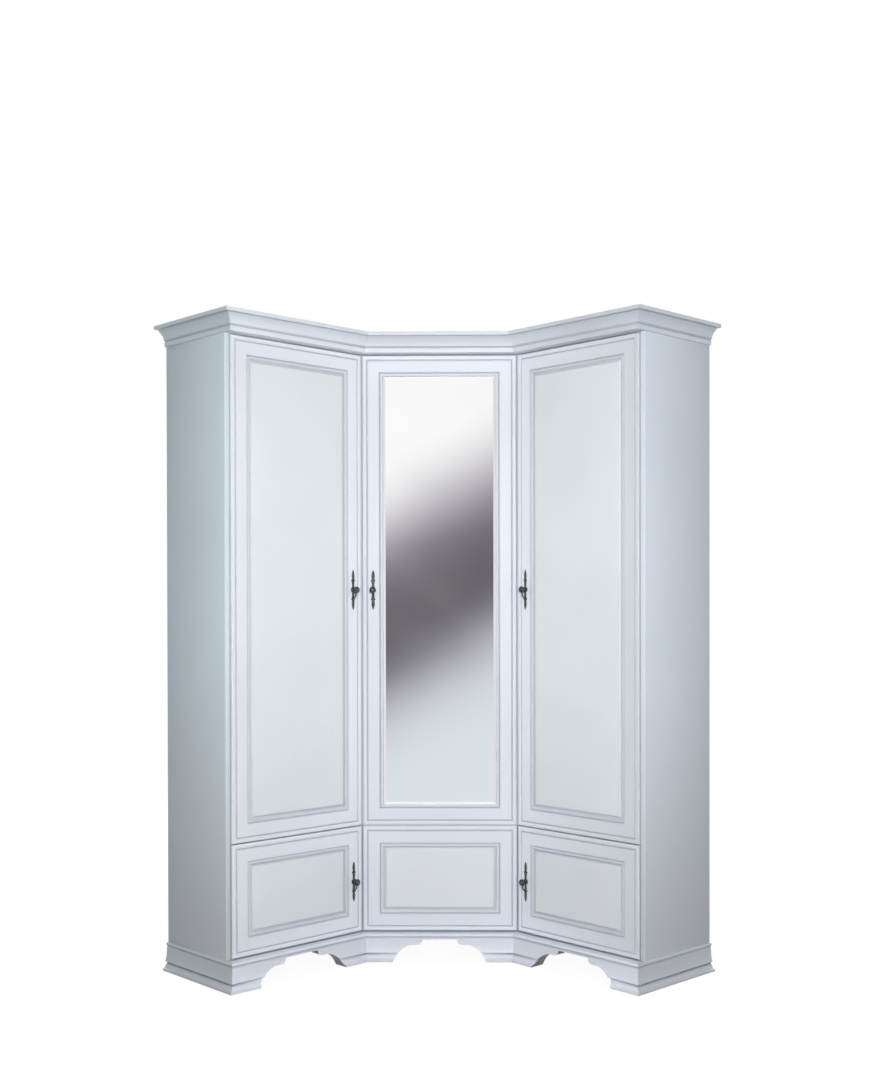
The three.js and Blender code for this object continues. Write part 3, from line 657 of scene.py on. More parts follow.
# Cornice and plinth
def cornice_section(back, cove=0.14):
    """Lower fillet, groove, hollow cove and square lip. On the fronts, back reaches behind the doors."""
    lip = CORNICE - LIP
    # The underside, seen through the gap over the doors, is painted faintly dark: painted shade
    section = Section(-back, 0, 0.3)
    if back > 0:
        section.line(-FRONT_LEAD + 2, 0, 0.2).line(0, 0, 0.1)
    section.line(4, 0, 0.15)
    section.curve(7, 0, 7, 3, 0.05).line(7, 12, 0).curve(7, 16, 4, 16, 0.75, 1.5)
    section.line(4, 17.4, 0.8).line(8.8, 21.2, 0.7).line(10, 22.3, 0.5).line(10.3, 26, cove)
    # The cove darkens toward the lip, and the lip's underside is painted dark: painted shade under the lip
    section.curve(12, 37, 32, lip, cove + 0.3, 3, 16)
    section.line(33, lip, 0.85).line(45, lip, 0.7).line(46, lip, 0.35)
    section.curve(CORNICE_OUT, lip, CORNICE_OUT, lip + 2.5, 0.16).line(CORNICE_OUT, CORNICE - 2.5, 0.12)
    section.curve(CORNICE_OUT, CORNICE, CORNICE_OUT - 2.5, CORNICE, 0.1).line(20, CORNICE, 0)
    if back > 0:
        section.line(0, CORNICE)
    return section.line(-back, CORNICE).points


def plinth_section(back):
    """Flared foot, wide groove, slightly hollow face and round bead under the ledge."""
    section = Section(-back, 0, 0.3)
    section.line(FOOT_OUT - 1, 0, 0.2).line(FOOT_OUT, 1, 0.1).line(FOOT_OUT, 6.5, 0.1).line(21.4, 7.3, 0.15)
    section.curve(9.2, 11.5, 9, 21.2, 0.12, 1, 10).line(8.4, 22, 0.5)
    # The wide groove and the skirt's underside carry silver patina, painted just past it into deep shade at
    # the groove's top
    section.line(5, 22, 1).line(5, 30, 1.05).line(11.3, 30, 0.95).line(12, 30.7, 0.4)
    section.line(11.7, 32.4, 0.08).curve(6, 46, 5, 76, 0, 1, 10)
    section.line(5, 79, 0.4).line(3.2, 83.2, 0.7).line(3.2, 84, 0.7)
    section.curve(8, 84, 8, 89.5, 0, 0.8).curve(8, 94.6, 3, PLINTH, 0.25, 2)
    # Toward the doors the ledge's top is painted into deep shade: painted shadow in the gap under the doors
    if back > 0:
        section.line(-FRONT_LEAD + 5, PLINTH, 0.35).line(-FRONT_LEAD + 2, PLINTH, 1.25)
    return section.line(-back, PLINTH, 1.4 if back > 0 else 0.3).points


def run(name, section, base, start, end, place, material, node, z):
    """A moulding along x. start and end give where it is cut, from how far it stands out."""
    form = Form()
    form.shell([
        form.ring([((cut(base + out), -(base + out), z + up), patina_and_shade) for out, up, patina_and_shade in section])
        for cut in (start, end)])
    return form.finished(name, place, material, "carcass", "painted_wood", node)


def wing_end(side):
    """Where a wing's front moulding ends: the side panel's face, then mitred outward."""
    return lambda out: side * (PANEL_OUTER + max(0, out - FRONT_LEAD))


def arch_cutter(middle, width, place):
    """The arched hole of a plinth: a swelling foot, a shoulder and a small cove to the flat top."""
    half = width / 2
    outline = Section(half, -1)
    outline.line(half, 0).curve(0.894 * half, 43, 0.63 * half, 57, steps=16)
    outline.line(0.5 * half, 57).curve(0.375 * half, 57, 0.375 * half, 76, steps=10)
    right = [(a, b) for a, b, _ in outline.points]
    around = right + [(-a, b) for a, b in reversed(right)]
    form = Form()
    form.shell([form.ring([((middle + a, y, b), 0) for a, b in around]) for y in (-100, 60)])
    bmesh.ops.transform(form.mesh, matrix=place, verts=form.mesh.verts)
    bmesh.ops.recalc_face_normals(form.mesh, faces=form.mesh.faces)
    # The cut faces take the dark lacquer: painted shade
    for face in form.mesh.faces:
        face.material_index = 1
    mesh = bpy.data.meshes.new("cutter")
    form.mesh.to_mesh(mesh)
    form.mesh.free()
    mesh.materials.append(FRAME_PAINT)
    mesh.materials.append(CUT_FACE_SHADE)
    cutter = bpy.data.objects.new("cutter", mesh)
    bpy.context.scene.collection.objects.link(cutter)
    return cutter


def carve(target, cutter):
    """Cuts one object out of another and keeps the result, with the cut faces painted dark as shade, in its
    mesh.
    """
    target.data.materials.append(CUT_FACE_SHADE)
    modifier = target.modifiers.new("carve", "BOOLEAN")
    modifier.object = cutter
    modifier.operation = "DIFFERENCE"
    modifier.solver = "EXACT"
    bpy.context.view_layer.update()
    evaluated = target.evaluated_get(bpy.context.evaluated_depsgraph_get())
    cut = bpy.data.meshes.new_from_object(evaluated)
    target.modifiers.clear()
    cut.name = target.data.name
    target.data = cut
    bpy.data.objects.remove(cutter)
    cut.shade_smooth()
    cut.set_sharp_from_angle(angle=math.radians(32))


def build_trim():
    inner = HALF - SEAT / 2
    reach = FRONT_LEAD + TRIM_BACK
    skirt_middle = (INNER_MITRE * (FRONT_LEAD + FOOT_OUT) + PANEL_OUTER + FOOT_OUT) / 2
    for kind, middle, front, flank, paint, z in (
        ("cornice", cornice_section(reach, 0.36), cornice_section(reach), cornice_section(-SEAT),
         CORNICE_PAINT, CORNICE_BOTTOM),
        ("plinth", plinth_section(reach), plinth_section(reach), plinth_section(-SEAT), FRAME_PAINT, 0),
    ):
        centre = run(
            kind + "_front_centre", middle, FRONT_LEAD,
            lambda out: -inner + INNER_MITRE * out, lambda out: inner - INNER_MITRE * out,
            CENTRE, paint, kind + "_centre", z)
        if kind == "plinth":
            carve(centre, arch_cutter(0, CENTRE_ARCH, CENTRE))
        for side, word in WORD.items():
            place = in_wing(side)
            wing = run(
                f"{kind}_front_{word}", front, FRONT_LEAD,
                lambda out: side * (SEAT / 2 + INNER_MITRE * out), wing_end(side),
                place, paint, f"{kind}_wing_{word}", z)
            if kind == "plinth":
                carve(wing, arch_cutter(side * (skirt_middle - ARCH_INSET), WING_ARCH, place))
            run(
                f"{kind}_flank_{word}", flank, 0,
                lambda out: side * (SEAT - FRONT_LEAD - out), lambda out: side * SIDE_DEPTH,
                beside(side), SHADED_SIDE_PAINT[side], f"{kind}_side_{word}", z)


# Handles
def plate_half_width(z):
    """Half the back plate's width at a height from its middle: pointed leaves, waists and cross beads."""
    h = abs(z)
    if h > LEAF_TIP:
        return 0.35 + (PLATE_HALF - h) * 0.35
    if h > LEAF_FOOT:
        t = (LEAF_TIP - h) / (LEAF_TIP - LEAF_FOOT)
        return 1.05 + 4.6 * math.sin(math.pi * min(1, t * 0.62 + 0.02)) ** 0.9
    if h > 38:
        return 4.8
    if abs(h - BEAD) < 3.4:
        return 2.6 + 5.4 * math.sqrt(1 - ((h - BEAD) / 5) ** 2)
    if h > 28:
        return 3.9
    if h > 20:
        return 5.2
    return 4.2


def plate_corners(z):
    """A cut through the plate at a height: crowned, with a midrib on its leaves, and flat behind."""
    half = plate_half_width(z)
    crown = min(2.6, 0.8 + half * 0.5)
    corners = []
    for k in range(9):
        t = k / 4 - 1
        rise = crown * max(0, 1 - t * t) ** 0.6
        rib = 0.7 * (1 - min(1, abs(t) * 3)) if abs(z) > LEAF_FOOT else 0
        corners.append(((t * half, PLATE_BACK - 1.0 - rise - rib, z), 0.05 + 0.5 * (1 - abs(t)) ** 2))
    return corners + [((half, PLATE_BACK, z), 0), ((-half, PLATE_BACK, z), 0)]


def rubbed(radius, y):
    """How bright a hand has rubbed the knob."""
    if radius == 0:
        return 1.0 if y < 0 else 0.5
    if radius < 4 and y < -24:
        return 0.6
    return 0.4 if radius > 10.5 else 0.15


def build_handle(label, body, place, x, z):
    """A pewter handle: leaf plate, rose, mushroom knob, drooping scroll and two round screw heads."""
    rose = [
        (0, 0.8), (10, 0.8), (10, -1.6), (9.6, -2.6), (8.6, -3.0), (8.2, -2.6), (7.4, -2.7), (6, -4.6),
        (4.4, -5), (4, -6.4), (3.6, -9), (3.9, -12), (5.6, -13.7), (8.4, -14.4), (10.6, -16), (11.5, -18.6),
        (11.3, -21), (10, -23.4), (8.9, -24.2), (8.5, -23.9), (8, -24.5), (6, -26), (3, -26.8), (0, -27)]
    form = Form("wear")
    heights = [2 * PLATE_HALF * i / PLATE_STEPS - PLATE_HALF for i in range(PLATE_STEPS + 1)]
    form.shell([form.ring(plate_corners(height)) for height in heights])
    form.lathe([(radius, y, rubbed(radius, y)) for radius, y in rose], 36)
    spine, radii = [], []
    for i in range(25):
        t = i / 24
        swing = max(0, math.sin(math.pi * (0.05 + 0.95 * t)))
        spine.append((0, -2.0 - 12.0 * swing ** 0.85 - 3.5 * (1 - t) ** 2, -7 - 25 * t))
        radii.append(2.4 - 0.9 * abs(2 * t - 1) ** 2 * (1 if t > 0.5 else 0.3))
    form.rod(spine, radii, value=0.35)
    turns = [i * math.pi / 6 for i in range(10)]
    curl = [(0, -3.6 - 2.2 * math.sin(a), -33.5 - 2.2 * math.cos(a)) for a in turns]
    form.rod(curl, [1.7 - 0.08 * i for i in range(10)], value=0.6)
    head = [(0, 0, 0.5), (2.2, 0, 0.5), (2.2, -3.0, 0.5), (1.6, -3.7, 0.5), (0.7, -4.0, 0.5), (0, -4.0, 1)]
    for height in (-HANDLE_SCREW, HANDLE_SCREW):
        form.put(at(0, 0, height), form.lathe, head, 16)
    form.finished("pull_" + label, place @ at(x, 0, z), PEWTER, body, "aged_pewter", "handle_" + label, 40)


def build_handles():
    for side, word in WORD.items():
        for level, height in (("lower", LOWER_HANDLE), ("upper", UPPER_HANDLE)):
            label = f"{level}_{word}"
            build_handle(label, label + "_door", in_wing(side), side * (GAP / 2 + HANDLE_IN), height)
    build_handle("centre", "centre_door", CENTRE, GAP / 2 + HANDLE_IN - HALF, UPPER_HANDLE)


# Carcass boards
def board(name, plan, low, high, place, node, band=None, ease=0.9, material=BOARD_WHITE,
          slot="carcass_board"):
    """A board with eased edges. Faces in front of band are edge band."""
    form = Form()
    form.prism(plan, low, high)
    bmesh.ops.recalc_face_normals(form.mesh, faces=form.mesh.faces)
    bmesh.ops.bevel(
        form.mesh, geom=form.mesh.edges[:], offset=ease, segments=2, profile=0.5, affect="EDGES", material=-1)
    if band is not None:
        layer = form.mesh.faces.layers.float.new("band")
        for face in form.mesh.faces:
            face[layer] = 1.0 if all(vertex.co.y < band + EASED_BAND for vertex in face.verts) else 0.0
    form.finished(name, place, material, "carcass", slot, node)


def centre_plan(front, clearance):
    """Plan of a board behind the middle door, between the partitions and up to the room corner."""
    front_x = HALF + front - clearance * math.sqrt(2)
    rear_x = HALF + (REAR - clearance) * math.sqrt(0.5)
    rear_y = (REAR + clearance) * math.sqrt(0.5)
    corner = HALF + REAR * math.sqrt(2)
    return [(-front_x, front), (front_x, front), (rear_x, rear_y), (0, corner), (-rear_x, rear_y)]


def post_plan(side):
    """Plan of the post in the wedge behind the corner gap of two doors."""
    lean = math.pi / 8
    behind = INSIDE_FRONT + BUFFER
    plan = []
    for depth, turn in ((7, -1), (7, 1), (behind, 1), (behind, -1)):
        across = turn * ((GAP / 2 + depth * math.sin(lean)) / math.cos(lean) - 0.7)
        x = -depth * math.sin(lean) + across * math.cos(lean)
        plan.append((side * x, depth * math.cos(lean) + across * math.sin(lean)))
    return plan


def build_wing_boards(side, word):
    place = in_wing(side)
    panel = rectangle(side * PANEL_INNER, side * PANEL_OUTER, LEAD, SIDE_DEPTH)
    board(
        "side_board_" + word, panel, 0, BOARD_TOP, place, "side_panel_" + word,
        ease=0.7, material=SHADED_SIDE_PAINT[side], slot="painted_wood")
    partition = "partition_" + word
    board(
        "partition_board_" + word, rectangle(-BOARD / 2, BOARD / 2, INSIDE_FRONT, REAR), PLINTH + SEAT,
        INSIDE_TOP, place, partition, band=INSIDE_FRONT)
    # The posts seen through the corner gaps are painted dark: painted shade, past the silver into deep shade
    # behind the lower doors
    for level, low, high, tone in (("lower", PLINTH + SEAT, SPLIT, 1.35), ("upper", SPLIT, INSIDE_TOP, 0.8)):
        post = Form()
        post.prism(post_plan(side), low, high, tone)
        post.finished(f"post_{level}_{word}", place, FRAME_PAINT, "carcass", "painted_wood", partition)
    inner, outer = side * SPAN[0], side * SPAN[1]
    across = rectangle(side * SEAT / 2, outer, LEAD, REAR)
    board("bottom_board_" + word, across, BOARD_BOTTOM, PLINTH, place, "wing_bottom_" + word, band=LEAD)
    board("top_board_" + word, across, CORNICE_BOTTOM, BOARD_TOP, place, "wing_top_" + word, band=LEAD)
    board(
        "fixed_shelf_" + word, rectangle(inner, outer, INSIDE_FRONT, REAR), SPLIT - BOARD / 2,
        SPLIT + BOARD / 2, place, "split_shelf_" + word, band=INSIDE_FRONT)
    wall = SIDE_DEPTH - BACK
    back = [(side * (SEAT - ROOM_CORNER), SIDE_DEPTH), (side * (SEAT - ROOM_CORNER + BACK), wall),
            (outer, wall), (outer, SIDE_DEPTH)]
    board("back_board_" + word, back, BOARD_BOTTOM, BOARD_TOP, place, "back_panel_" + word, ease=0.4)


def build_boards():
    for side, word in WORD.items():
        build_wing_boards(side, word)
    loose = INSIDE_FRONT + SHELF_SETBACK
    for i, middle in enumerate(SHELVES):
        board(
            f"loose_shelf_{i + 1}", rectangle(-SPAN[0], -SPAN[1], loose, REAR), middle - BOARD / 2,
            middle + BOARD / 2, in_wing(-1), f"shelf_left_{i + 1}", band=loose)
    across = centre_plan(LEAD, SEAT / 2)
    board("bottom_board_centre", across, BOARD_BOTTOM, PLINTH, CENTRE, "centre_bottom", band=LEAD)
    board("top_board_centre", across, CORNICE_BOTTOM, BOARD_TOP, CENTRE, "centre_top", band=LEAD)
    inside = centre_plan(loose, SPAN[0])
    board("high_shelf", inside, HAT_SHELF, HAT_SHELF + BOARD, CENTRE, "hat_shelf", band=loose)
    leg = HALF + REAR * math.sqrt(2) - LEG_BACK
    board(
        "rear_leg", rectangle(-LEG / 2, LEG / 2, leg - LEG, leg), 0, BOARD_BOTTOM - SEAT, CENTRE,
        "corner_leg", ease=1.5, material=FIBRE, slot="fibre_board")


# Hinges
def hinge_heights(bottom, top, count):
    step = (top - bottom - 2 * HINGE_END) / (count - 1)
    return [bottom + HINGE_END + i * step for i in range(count)]


def build_arm(name, outline, plate_start, facing, place, z, node):
    """A concealed hinge's cross plate, cranked arm and screws. facing points away from the board."""
    form = Form()
    plate_face = facing * (SEAT + 3)
    span = sorted((facing * SEAT, plate_face))
    form.prism(rectangle(*span, plate_start, plate_start + HINGE_PLATE), -9, 9)
    form.prism(rectangle(*span, plate_start + 6, plate_start + 26), -22, 22)
    form.prism([(facing * x, y) for x, y in outline], -8, 8)
    turn = TOWARD_MINUS_X if facing > 0 else TOWARD_X
    for back in (10, 34):
        form.put(at(facing * ARM_FACE, plate_start + back, 0) @ turn, form.screw, 3.6, 0.9)
    for height in (-16, 16):
        form.put(at(plate_face, plate_start + 16, height) @ turn, form.screw, 3.4, 0.7)
    form.finished(name, place @ at(0, 0, z), NICKEL, "carcass", "hinge_steel", node)


def build_door_backs(label, body, place, cup_x, cup_heights, handle_x, handle_z, pads):
    """Cups, handle screws and buffers on the back of a door."""
    metal, hollows, rubber = Form(), Form(), Form()
    for z in cup_heights:
        metal.put(at(cup_x, 0, z), metal.cup)
        # A dark disc in each cup stands for its recess: painted shade
        hollows.put(at(cup_x, DOOR, z), hollows.disc, CUP_HOLLOW, 32)
    for height in (-HANDLE_SCREW, HANDLE_SCREW):
        metal.put(at(handle_x, DOOR, handle_z + height) @ TOWARD_BACK, metal.screw, 4, 1.0)
    for x, z in pads:
        rubber.put(at(x, DOOR, z) @ TOWARD_BACK, rubber.screw, 4, 1.4)
    metal.finished("cups_" + label, place, NICKEL, body, "hinge_steel")
    hollows.finished("cup_hollows_" + label, place, HOLE_SHADE, body, "hinge_steel")
    rubber.finished("buffers_" + label, place, RUBBER_AND_GAP_SHADE, body, "hinge_steel")


def build_wing_hinges(side, word):
    place = in_wing(side)
    start = INSIDE_FRONT + 34
    arm = [(ARM_START, start), (19, DOOR + SEAT), (31, DOOR + SEAT), (31, INSIDE_FRONT + 6),
           (ARM_START + 10, start), (ARM_START + 10, start + HINGE_PLATE), (ARM_START, start + HINGE_PLATE)]
    for level, low, high, count, pull in (
        ("lower", DOOR_BOTTOM, LOWER_TOP, 2, LOWER_HANDLE),
        ("upper", UPPER_BOTTOM, DOOR_TOP, 3, UPPER_HANDLE),
    ):
        label = f"{level}_{word}"
        heights = hinge_heights(low, high, count)
        for i, z in enumerate(heights):
            build_arm(f"arm_{label}_{i + 1}", arm, start, -side, place @ at(side * PANEL_INNER, 0, 0), z,
                      f"hinge_{label}_{i + 1}")
        pads = [(side * PAD_IN, low + PAD_IN), (side * PAD_IN, high - PAD_IN)]
        build_door_backs(
            label, label + "_door", place, side * (PANEL_INNER - GAP - CUP_IN), heights,
            side * (GAP / 2 + HANDLE_IN), pull, pads)
    # A dark strip on the fixed shelf's front, behind the gap between the doors: painted shade
    strip_for_shade = Form()
    span = sorted((side * 14, side * SPAN[1]))
    strip_for_shade.prism(rectangle(*span, INSIDE_FRONT - 1.2, INSIDE_FRONT), SPLIT - 4, SPLIT + 4)
    strip_for_shade.finished(f"gap_shade_strip_{word}", place, RUBBER_AND_GAP_SHADE, "carcass", "carcass_board")


def on_partition(x, y):
    """A point of the middle door's frame, from the face of the partition that its hinges sit on."""
    across = x - HALF
    return -(across - y) * math.sqrt(0.5) - BOARD / 2, (across + y) * math.sqrt(0.5)


def build_centre_hinges():
    cup_x = HALF - GAP / 2 - CUP_IN
    start = 68
    arm = [(ARM_START, start), on_partition(cup_x + 6, DOOR + SEAT), on_partition(cup_x - 6, DOOR + SEAT),
           on_partition(cup_x - 6, INSIDE_FRONT + 6), (ARM_START + 10, start),
           (ARM_START + 10, start + HINGE_PLATE), (ARM_START, start + HINGE_PLATE)]
    place = in_wing(1) @ at(-BOARD / 2, 0, 0)
    heights = hinge_heights(DOOR_BOTTOM, DOOR_TOP, 3)
    for i, z in enumerate(heights):
        build_arm(f"arm_centre_{i + 1}", arm, start, -1, place, z, f"hinge_centre_{i + 1}")
    pad_x = PAD_IN - (CENTRE_WIDTH - GAP) / 2
    build_door_backs(
        "centre", "centre_door", CENTRE, cup_x, heights, GAP / 2 + HANDLE_IN - HALF, UPPER_HANDLE,
        [(pad_x, DOOR_BOTTOM + PAD_IN), (pad_x, DOOR_TOP - PAD_IN)])


def build_mirror_clips():
    """Small plates screwed on the middle door's back, over the edge of the mirror's backing."""
    form = Form()
    edge = (CENTRE_WIDTH - GAP) / 2 - REBATE
    plate_back = DOOR + CLIP
    step = (DOOR_TOP - UPPER_BOTTOM - 2 * CLIP_END) / (CLIP_COUNT - 1)
    for i in range(CLIP_COUNT):
        z = UPPER_BOTTOM + CLIP_END + i * step
        for end in (-1, 1):
            span = sorted((end * (edge - 9), end * (edge + 15)))
            form.prism(rectangle(*span, DOOR, plate_back), z - CLIP_HALF, z + CLIP_HALF)
            form.put(at(end * (edge + CLIP_SCREW), plate_back, z) @ TOWARD_BACK, form.screw, 3.4, 0.7)
    for x in (-TOP_CLIP, TOP_CLIP):
        for z, end in ((UPPER_BOTTOM + REBATE, -1), (DOOR_TOP - REBATE, 1)):
            span = sorted((z - end * 9, z + end * 15))
            form.prism(rectangle(x - CLIP_HALF, x + CLIP_HALF, DOOR, plate_back), *span)
            form.put(at(x, plate_back, z + end * CLIP_SCREW) @ TOWARD_BACK, form.screw, 3.4, 0.7)
    form.finished("mirror_clips", CENTRE, NICKEL, "centre_door", "hinge_steel")


# Rails, pins and nails
def build_rails():
    wing = Form()
    rear = SIDE_DEPTH / 2
    wing.rod([(SPAN[0], rear, WING_RAIL), (SPAN[1], rear, WING_RAIL)], [RAIL, RAIL], 40)
    wing.put(at(SPAN[0], rear, WING_RAIL) @ TOWARD_X, wing.socket)
    wing.put(at(SPAN[1], rear, WING_RAIL) @ TOWARD_MINUS_X, wing.socket)
    wing.finished("bar_right", in_wing(1), CHROME, "carcass", "chrome_rail", "rail_right")
    centre = Form()
    reach = HALF + CENTRE_RAIL_BACK
    across = SPAN[0] * math.sqrt(0.5)
    centre.shell([
        centre.ring([
            ((side * (reach + y - 2 * across), CENTRE_RAIL_BACK + y, CENTRE_RAIL + z), 0)
            for y, z in circle(RAIL, 40)])
        for side in (-1, 1)])
    for side, turn in ((-1, TOWARD_X), (1, TOWARD_MINUS_X)):
        shift = at(side * (reach - across), CENTRE_RAIL_BACK - across, CENTRE_RAIL)
        lean = Matrix.Rotation(-side * math.pi / 4, 4, "Z") @ at(-side * SPAN[0], 0, 0)
        centre.put(shift @ lean @ turn, centre.socket)
    centre.finished("bar_centre", CENTRE, CHROME, "carcass", "chrome_rail", "rail_centre")


def build_shelf_pins():
    """Two rows of bored holes on each side of the left wing, and pins under its loose shelves."""
    holes, pins = Form(), Form()
    walls = ((-BOARD / 2, TOWARD_X, -PIN), (-PANEL_INNER, TOWARD_MINUS_X, PIN))
    for y in HOLE_ROWS:
        for x, turn, length in walls:
            # Dark discs for the bored holes: painted shade
            for i in range(HOLE_COUNT):
                holes.put(at(x, y, HOLE_START + HOLE_STEP * i) @ turn, holes.disc, HOLE)
            for middle in SHELVES:
                z = middle - BOARD / 2 - HOLE - 0.1
                pins.rod([(x, y, z), (x + length, y, z)], [HOLE, HOLE], 16)
    holes.finished("shelf_holes", in_wing(-1), HOLE_SHADE, "carcass", "carcass_board")
    pins.finished("shelf_pins", in_wing(-1), NICKEL, "carcass", "hinge_steel")


def build_back_nails():
    columns = (30 - ROOM_CORNER, 0, PANEL_INNER - 12)
    rows = (BOARD_BOTTOM + BOARD / 2, SPLIT, BOARD_TOP - BOARD / 2)
    across = (PANEL_INNER + ROOM_CORNER - 130) / (NAILS_ACROSS - 1)
    spots = [(x, BOARD_BOTTOM + 60 + i * NAIL_STEP) for x in columns for i in range(NAIL_COUNT)]
    spots += [(60 - ROOM_CORNER + i * across, z) for z in rows for i in range(NAILS_ACROSS)]
    for side, word in WORD.items():
        form = Form()
        for x, z in spots:
            form.put(at(side * x, SIDE_DEPTH, z) @ TOWARD_BACK, form.screw, 2.4, 0.3)
        form.finished(f"back_nails_{word}", in_wing(side), NICKEL, "carcass", "hinge_steel")


# Finish on the CAD nodes that stay
for node_name, node in frame["nodes"].items():
    node.data.materials.clear()
    node.data.materials.append(SLOT_MATERIAL[NODE_SLOT[node_name]])

build_doors()
build_trim()
build_handles()
build_boards()
for hinge_side, hinge_word in WORD.items():
    build_wing_hinges(hinge_side, hinge_word)
build_centre_hinges()
build_mirror_clips()
build_rails()
build_shelf_pins()
build_back_nails()


# Stage: a plain pale floor, and a soft dark band that only reflections see
def floor_material():
    material, tree = bare_material("pale_floor")
    path = add(tree, "ShaderNodeLightPath")
    coords = add(tree, "ShaderNodeTexCoord")
    length = add(tree, "ShaderNodeVectorMath", operation="LENGTH")
    tree.links.new(coords.outputs["Object"], length.inputs[0])
    glow = add(tree, "ShaderNodeEmission")
    put(tree, glow, "Strength", scaled(tree, length.outputs["Value"], 1.0, 2.4, 0.95, 1.0))
    matt = add(tree, "ShaderNodeBsdfDiffuse")
    matt.inputs["Color"].default_value = (0.07, 0.07, 0.07, 1)
    seen = add(tree, "ShaderNodeAddShader")
    tree.links.new(glow.outputs[0], seen.inputs[0])
    tree.links.new(matt.outputs[0], seen.inputs[1])
    ground = add(tree, "ShaderNodeBsdfDiffuse")
    ground.inputs["Color"].default_value = (0.26, 0.26, 0.265, 1)
    direct = maths(tree, "ADD", path.outputs["Is Camera Ray"], path.outputs["Is Glossy Ray"])
    shown(tree, blended(tree, direct, ground, seen))
    return material


def card_material():
    """White at the top, a slanting dark band, and pale grey below."""
    material, tree = bare_material("reflection_card")
    lean = add(tree, "ShaderNodeMath", operation="MULTIPLY_ADD")
    put(tree, lean, 0, place_along(tree, "X"))
    put(tree, lean, 1, -0.56)
    put(tree, lean, 2, place_along(tree, "Z"))
    ramp = add(tree, "ShaderNodeValToRGB")
    ramp.color_ramp.interpolation = "B_SPLINE"
    put(tree, ramp, "Fac", scaled(tree, lean.outputs[0], 0.0, 2.8, 0, 1))
    stops = ramp.color_ramp.elements
    stops[0].position, stops[0].color = 0.1, (0.73, 0.785, 0.815, 1)
    stops[1].position, stops[1].color = 0.85, (0.975, 0.975, 0.965, 1)
    for place, colour in (
        (0.19, (0.72, 0.75, 0.785, 1)),
        (0.25, (0.66, 0.685, 0.715, 1)),
        (0.29, (0.57, 0.58, 0.615, 1)),
        (0.335, (0.42, 0.42, 0.45, 1)),
        (0.38, (0.245, 0.236, 0.267, 1)),
        (0.42, (0.17, 0.16, 0.185, 1)),
        (0.46, (0.124, 0.114, 0.133, 1)),
        (0.52, (0.128, 0.118, 0.137, 1)),
        (0.58, (0.16, 0.148, 0.172, 1)),
        (0.635, (0.275, 0.26, 0.293, 1)),
        (0.69, (0.50, 0.48, 0.52, 1)),
        (0.74, (0.72, 0.70, 0.73, 1)),
        (0.79, (0.90, 0.89, 0.90, 1)),
    ):
        stops.new(place).color = colour
    glow = add(tree, "ShaderNodeEmission")
    tree.links.new(ramp.outputs["Color"], glow.inputs["Color"])
    shown(tree, glow)
    return material


def upright(x0, x1, y, top):
    """Corners of a card that stands on the floor."""
    return [(x0, y, 0.01), (x1, y, 0.01), (x1, y, top), (x0, y, top)]


def plane(name, corners, material):
    sheet = bmesh.new()
    sheet.faces.new([sheet.verts.new(corner) for corner in corners])
    mesh = bpy.data.meshes.new(name)
    sheet.to_mesh(mesh)
    sheet.free()
    mesh.materials.append(material)
    made = bpy.data.objects.new(name, mesh)
    bpy.context.scene.collection.objects.link(made)
    return made


def glow_card(name, corners, colour, axis, near, far):
    """A pale card that only reflections see. It turns white from near to far along an axis."""
    material, tree = bare_material(name)
    glow = add(tree, "ShaderNodeEmission")
    fade = scaled(tree, place_along(tree, axis), near, far, 0, 1)
    put(tree, glow, "Color", mixed(tree, fade, colour, (1, 1, 1, 1)))
    shown(tree, glow)
    hide(plane(name, corners, material))


def hide(card):
    card.visible_camera = False
    card.visible_diffuse = False
    card.visible_transmission = False
    card.visible_shadow = False


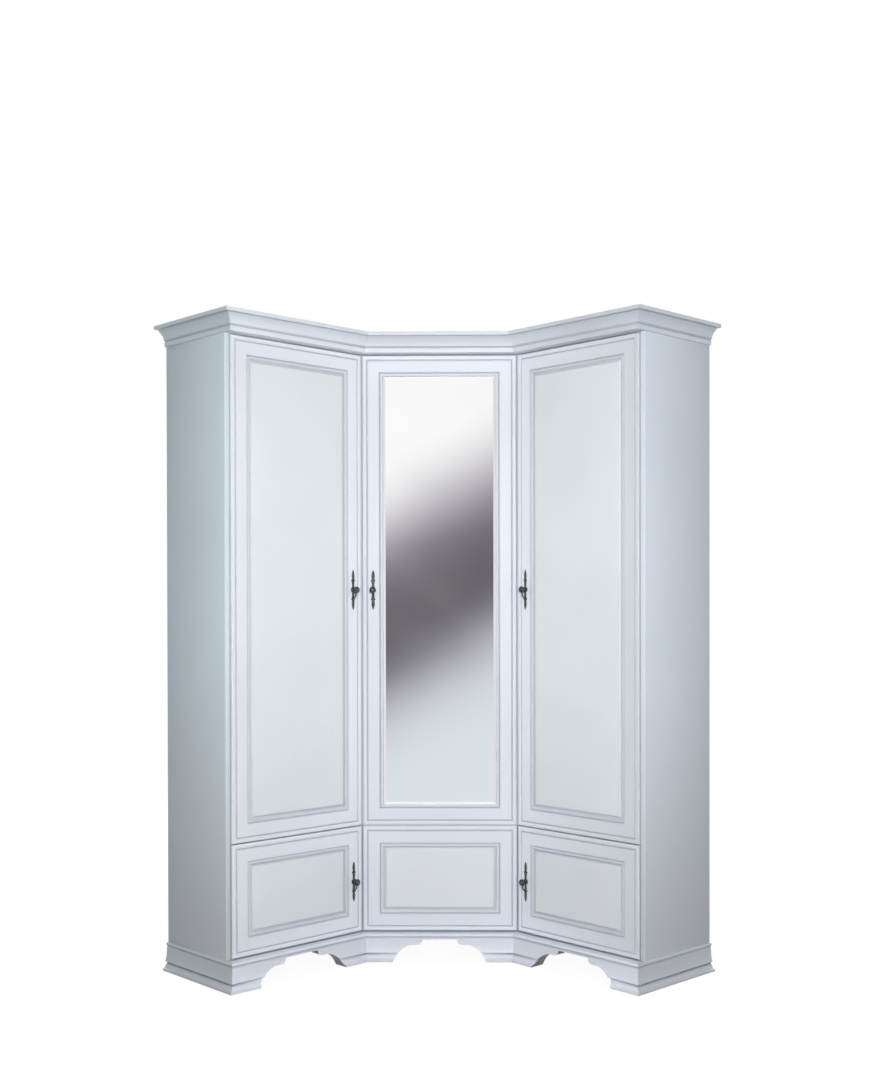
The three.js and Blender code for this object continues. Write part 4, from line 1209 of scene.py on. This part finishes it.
plane("floor", [(-14, -14, 0), (14, -14, 0), (14, 14, 0), (-14, 14, 0)], floor_material())
hide(plane("card", upright(-0.62, 0.36, -3.4, 3.0), card_material()))
glow_card("card_left", upright(-1.9, -0.61, -3.3, 3.4), (0.84, 0.80, 0.83, 1), "X", -1.4, -1.85)
glow_card("card_right", upright(0.36, 1.9, -3.3, 3.4), (0.77, 0.755, 0.775, 1), "X", 1.35, 1.85)
glow_card("card_low", [(-0.6, -2.3, 0.012), (0.6, -2.3, 0.012), (0.6, -0.9, 0.012), (-0.6, -0.9, 0.012)],
          (0.87, 0.87, 0.895, 1), "Y", -1.6, -2.25)


# Light
LAMP_TONE = (1.0, 0.995, 0.98)


def lamp(name, place, target, width, power):
    data = bpy.data.lights.new(name, "AREA")
    data.shape = "RECTANGLE"
    data.size = width
    data.size_y = width
    data.energy = power
    data.color = LAMP_TONE
    made = bpy.data.objects.new(name, data)
    made.location = place
    made.rotation_euler = (Vector(target) - Vector(place)).to_track_quat("-Z", "Y").to_euler()
    bpy.context.scene.collection.objects.link(made)


lamp("key", (0.2, -3.5, 1.7), (0, 0, 1.25), 1.5, 95)
lamp("back_left", (-2.4, 3.8, 2.1), (-0.3, 0, 1.1), 1.6, 75)
lamp("back_right", (2.4, 3.8, 2.1), (0.3, 0, 1.1), 1.6, 60)
lamp("above", (0, 1.3, 4.6), (0, 0.2, 2.2), 1.4, 40)

world = bpy.data.worlds.new("studio")
bpy.context.scene.world = world
world.use_nodes = True
tree = world.node_tree
tree.nodes.clear()
path = add(tree, "ShaderNodeLightPath")
seen = maths(tree, "ADD", path.outputs["Is Camera Ray"], path.outputs["Is Glossy Ray"])
seen = maths(tree, "ADD", seen, path.outputs["Is Transmission Ray"])
fill = add(tree, "ShaderNodeBackground")
fill.inputs["Color"].default_value = (0.93, 0.965, 1.0, 1)
fill.inputs["Strength"].default_value = 0.28
white = add(tree, "ShaderNodeBackground")
white.inputs["Color"].default_value = (1, 1, 1, 1)
shown(tree, blended(tree, seen, fill, white), "ShaderNodeOutputWorld")

# Camera
camera = bpy.data.cameras.new("camera")
camera.lens = 44.385
camera.sensor_width = 36
camera.shift_x = -0.03914
camera.shift_y = 0.06943
camera.clip_end = 100
eye = bpy.data.objects.new("camera", camera)
eye.location = (0.1882, -4.847, 1.2526)
eye.rotation_euler = (math.radians(90 - 0.458), math.radians(0.0875), math.radians(0.604))
bpy.context.scene.collection.objects.link(eye)
bpy.context.scene.camera = eye
bpy.context.scene.view_settings.view_transform = "Standard"
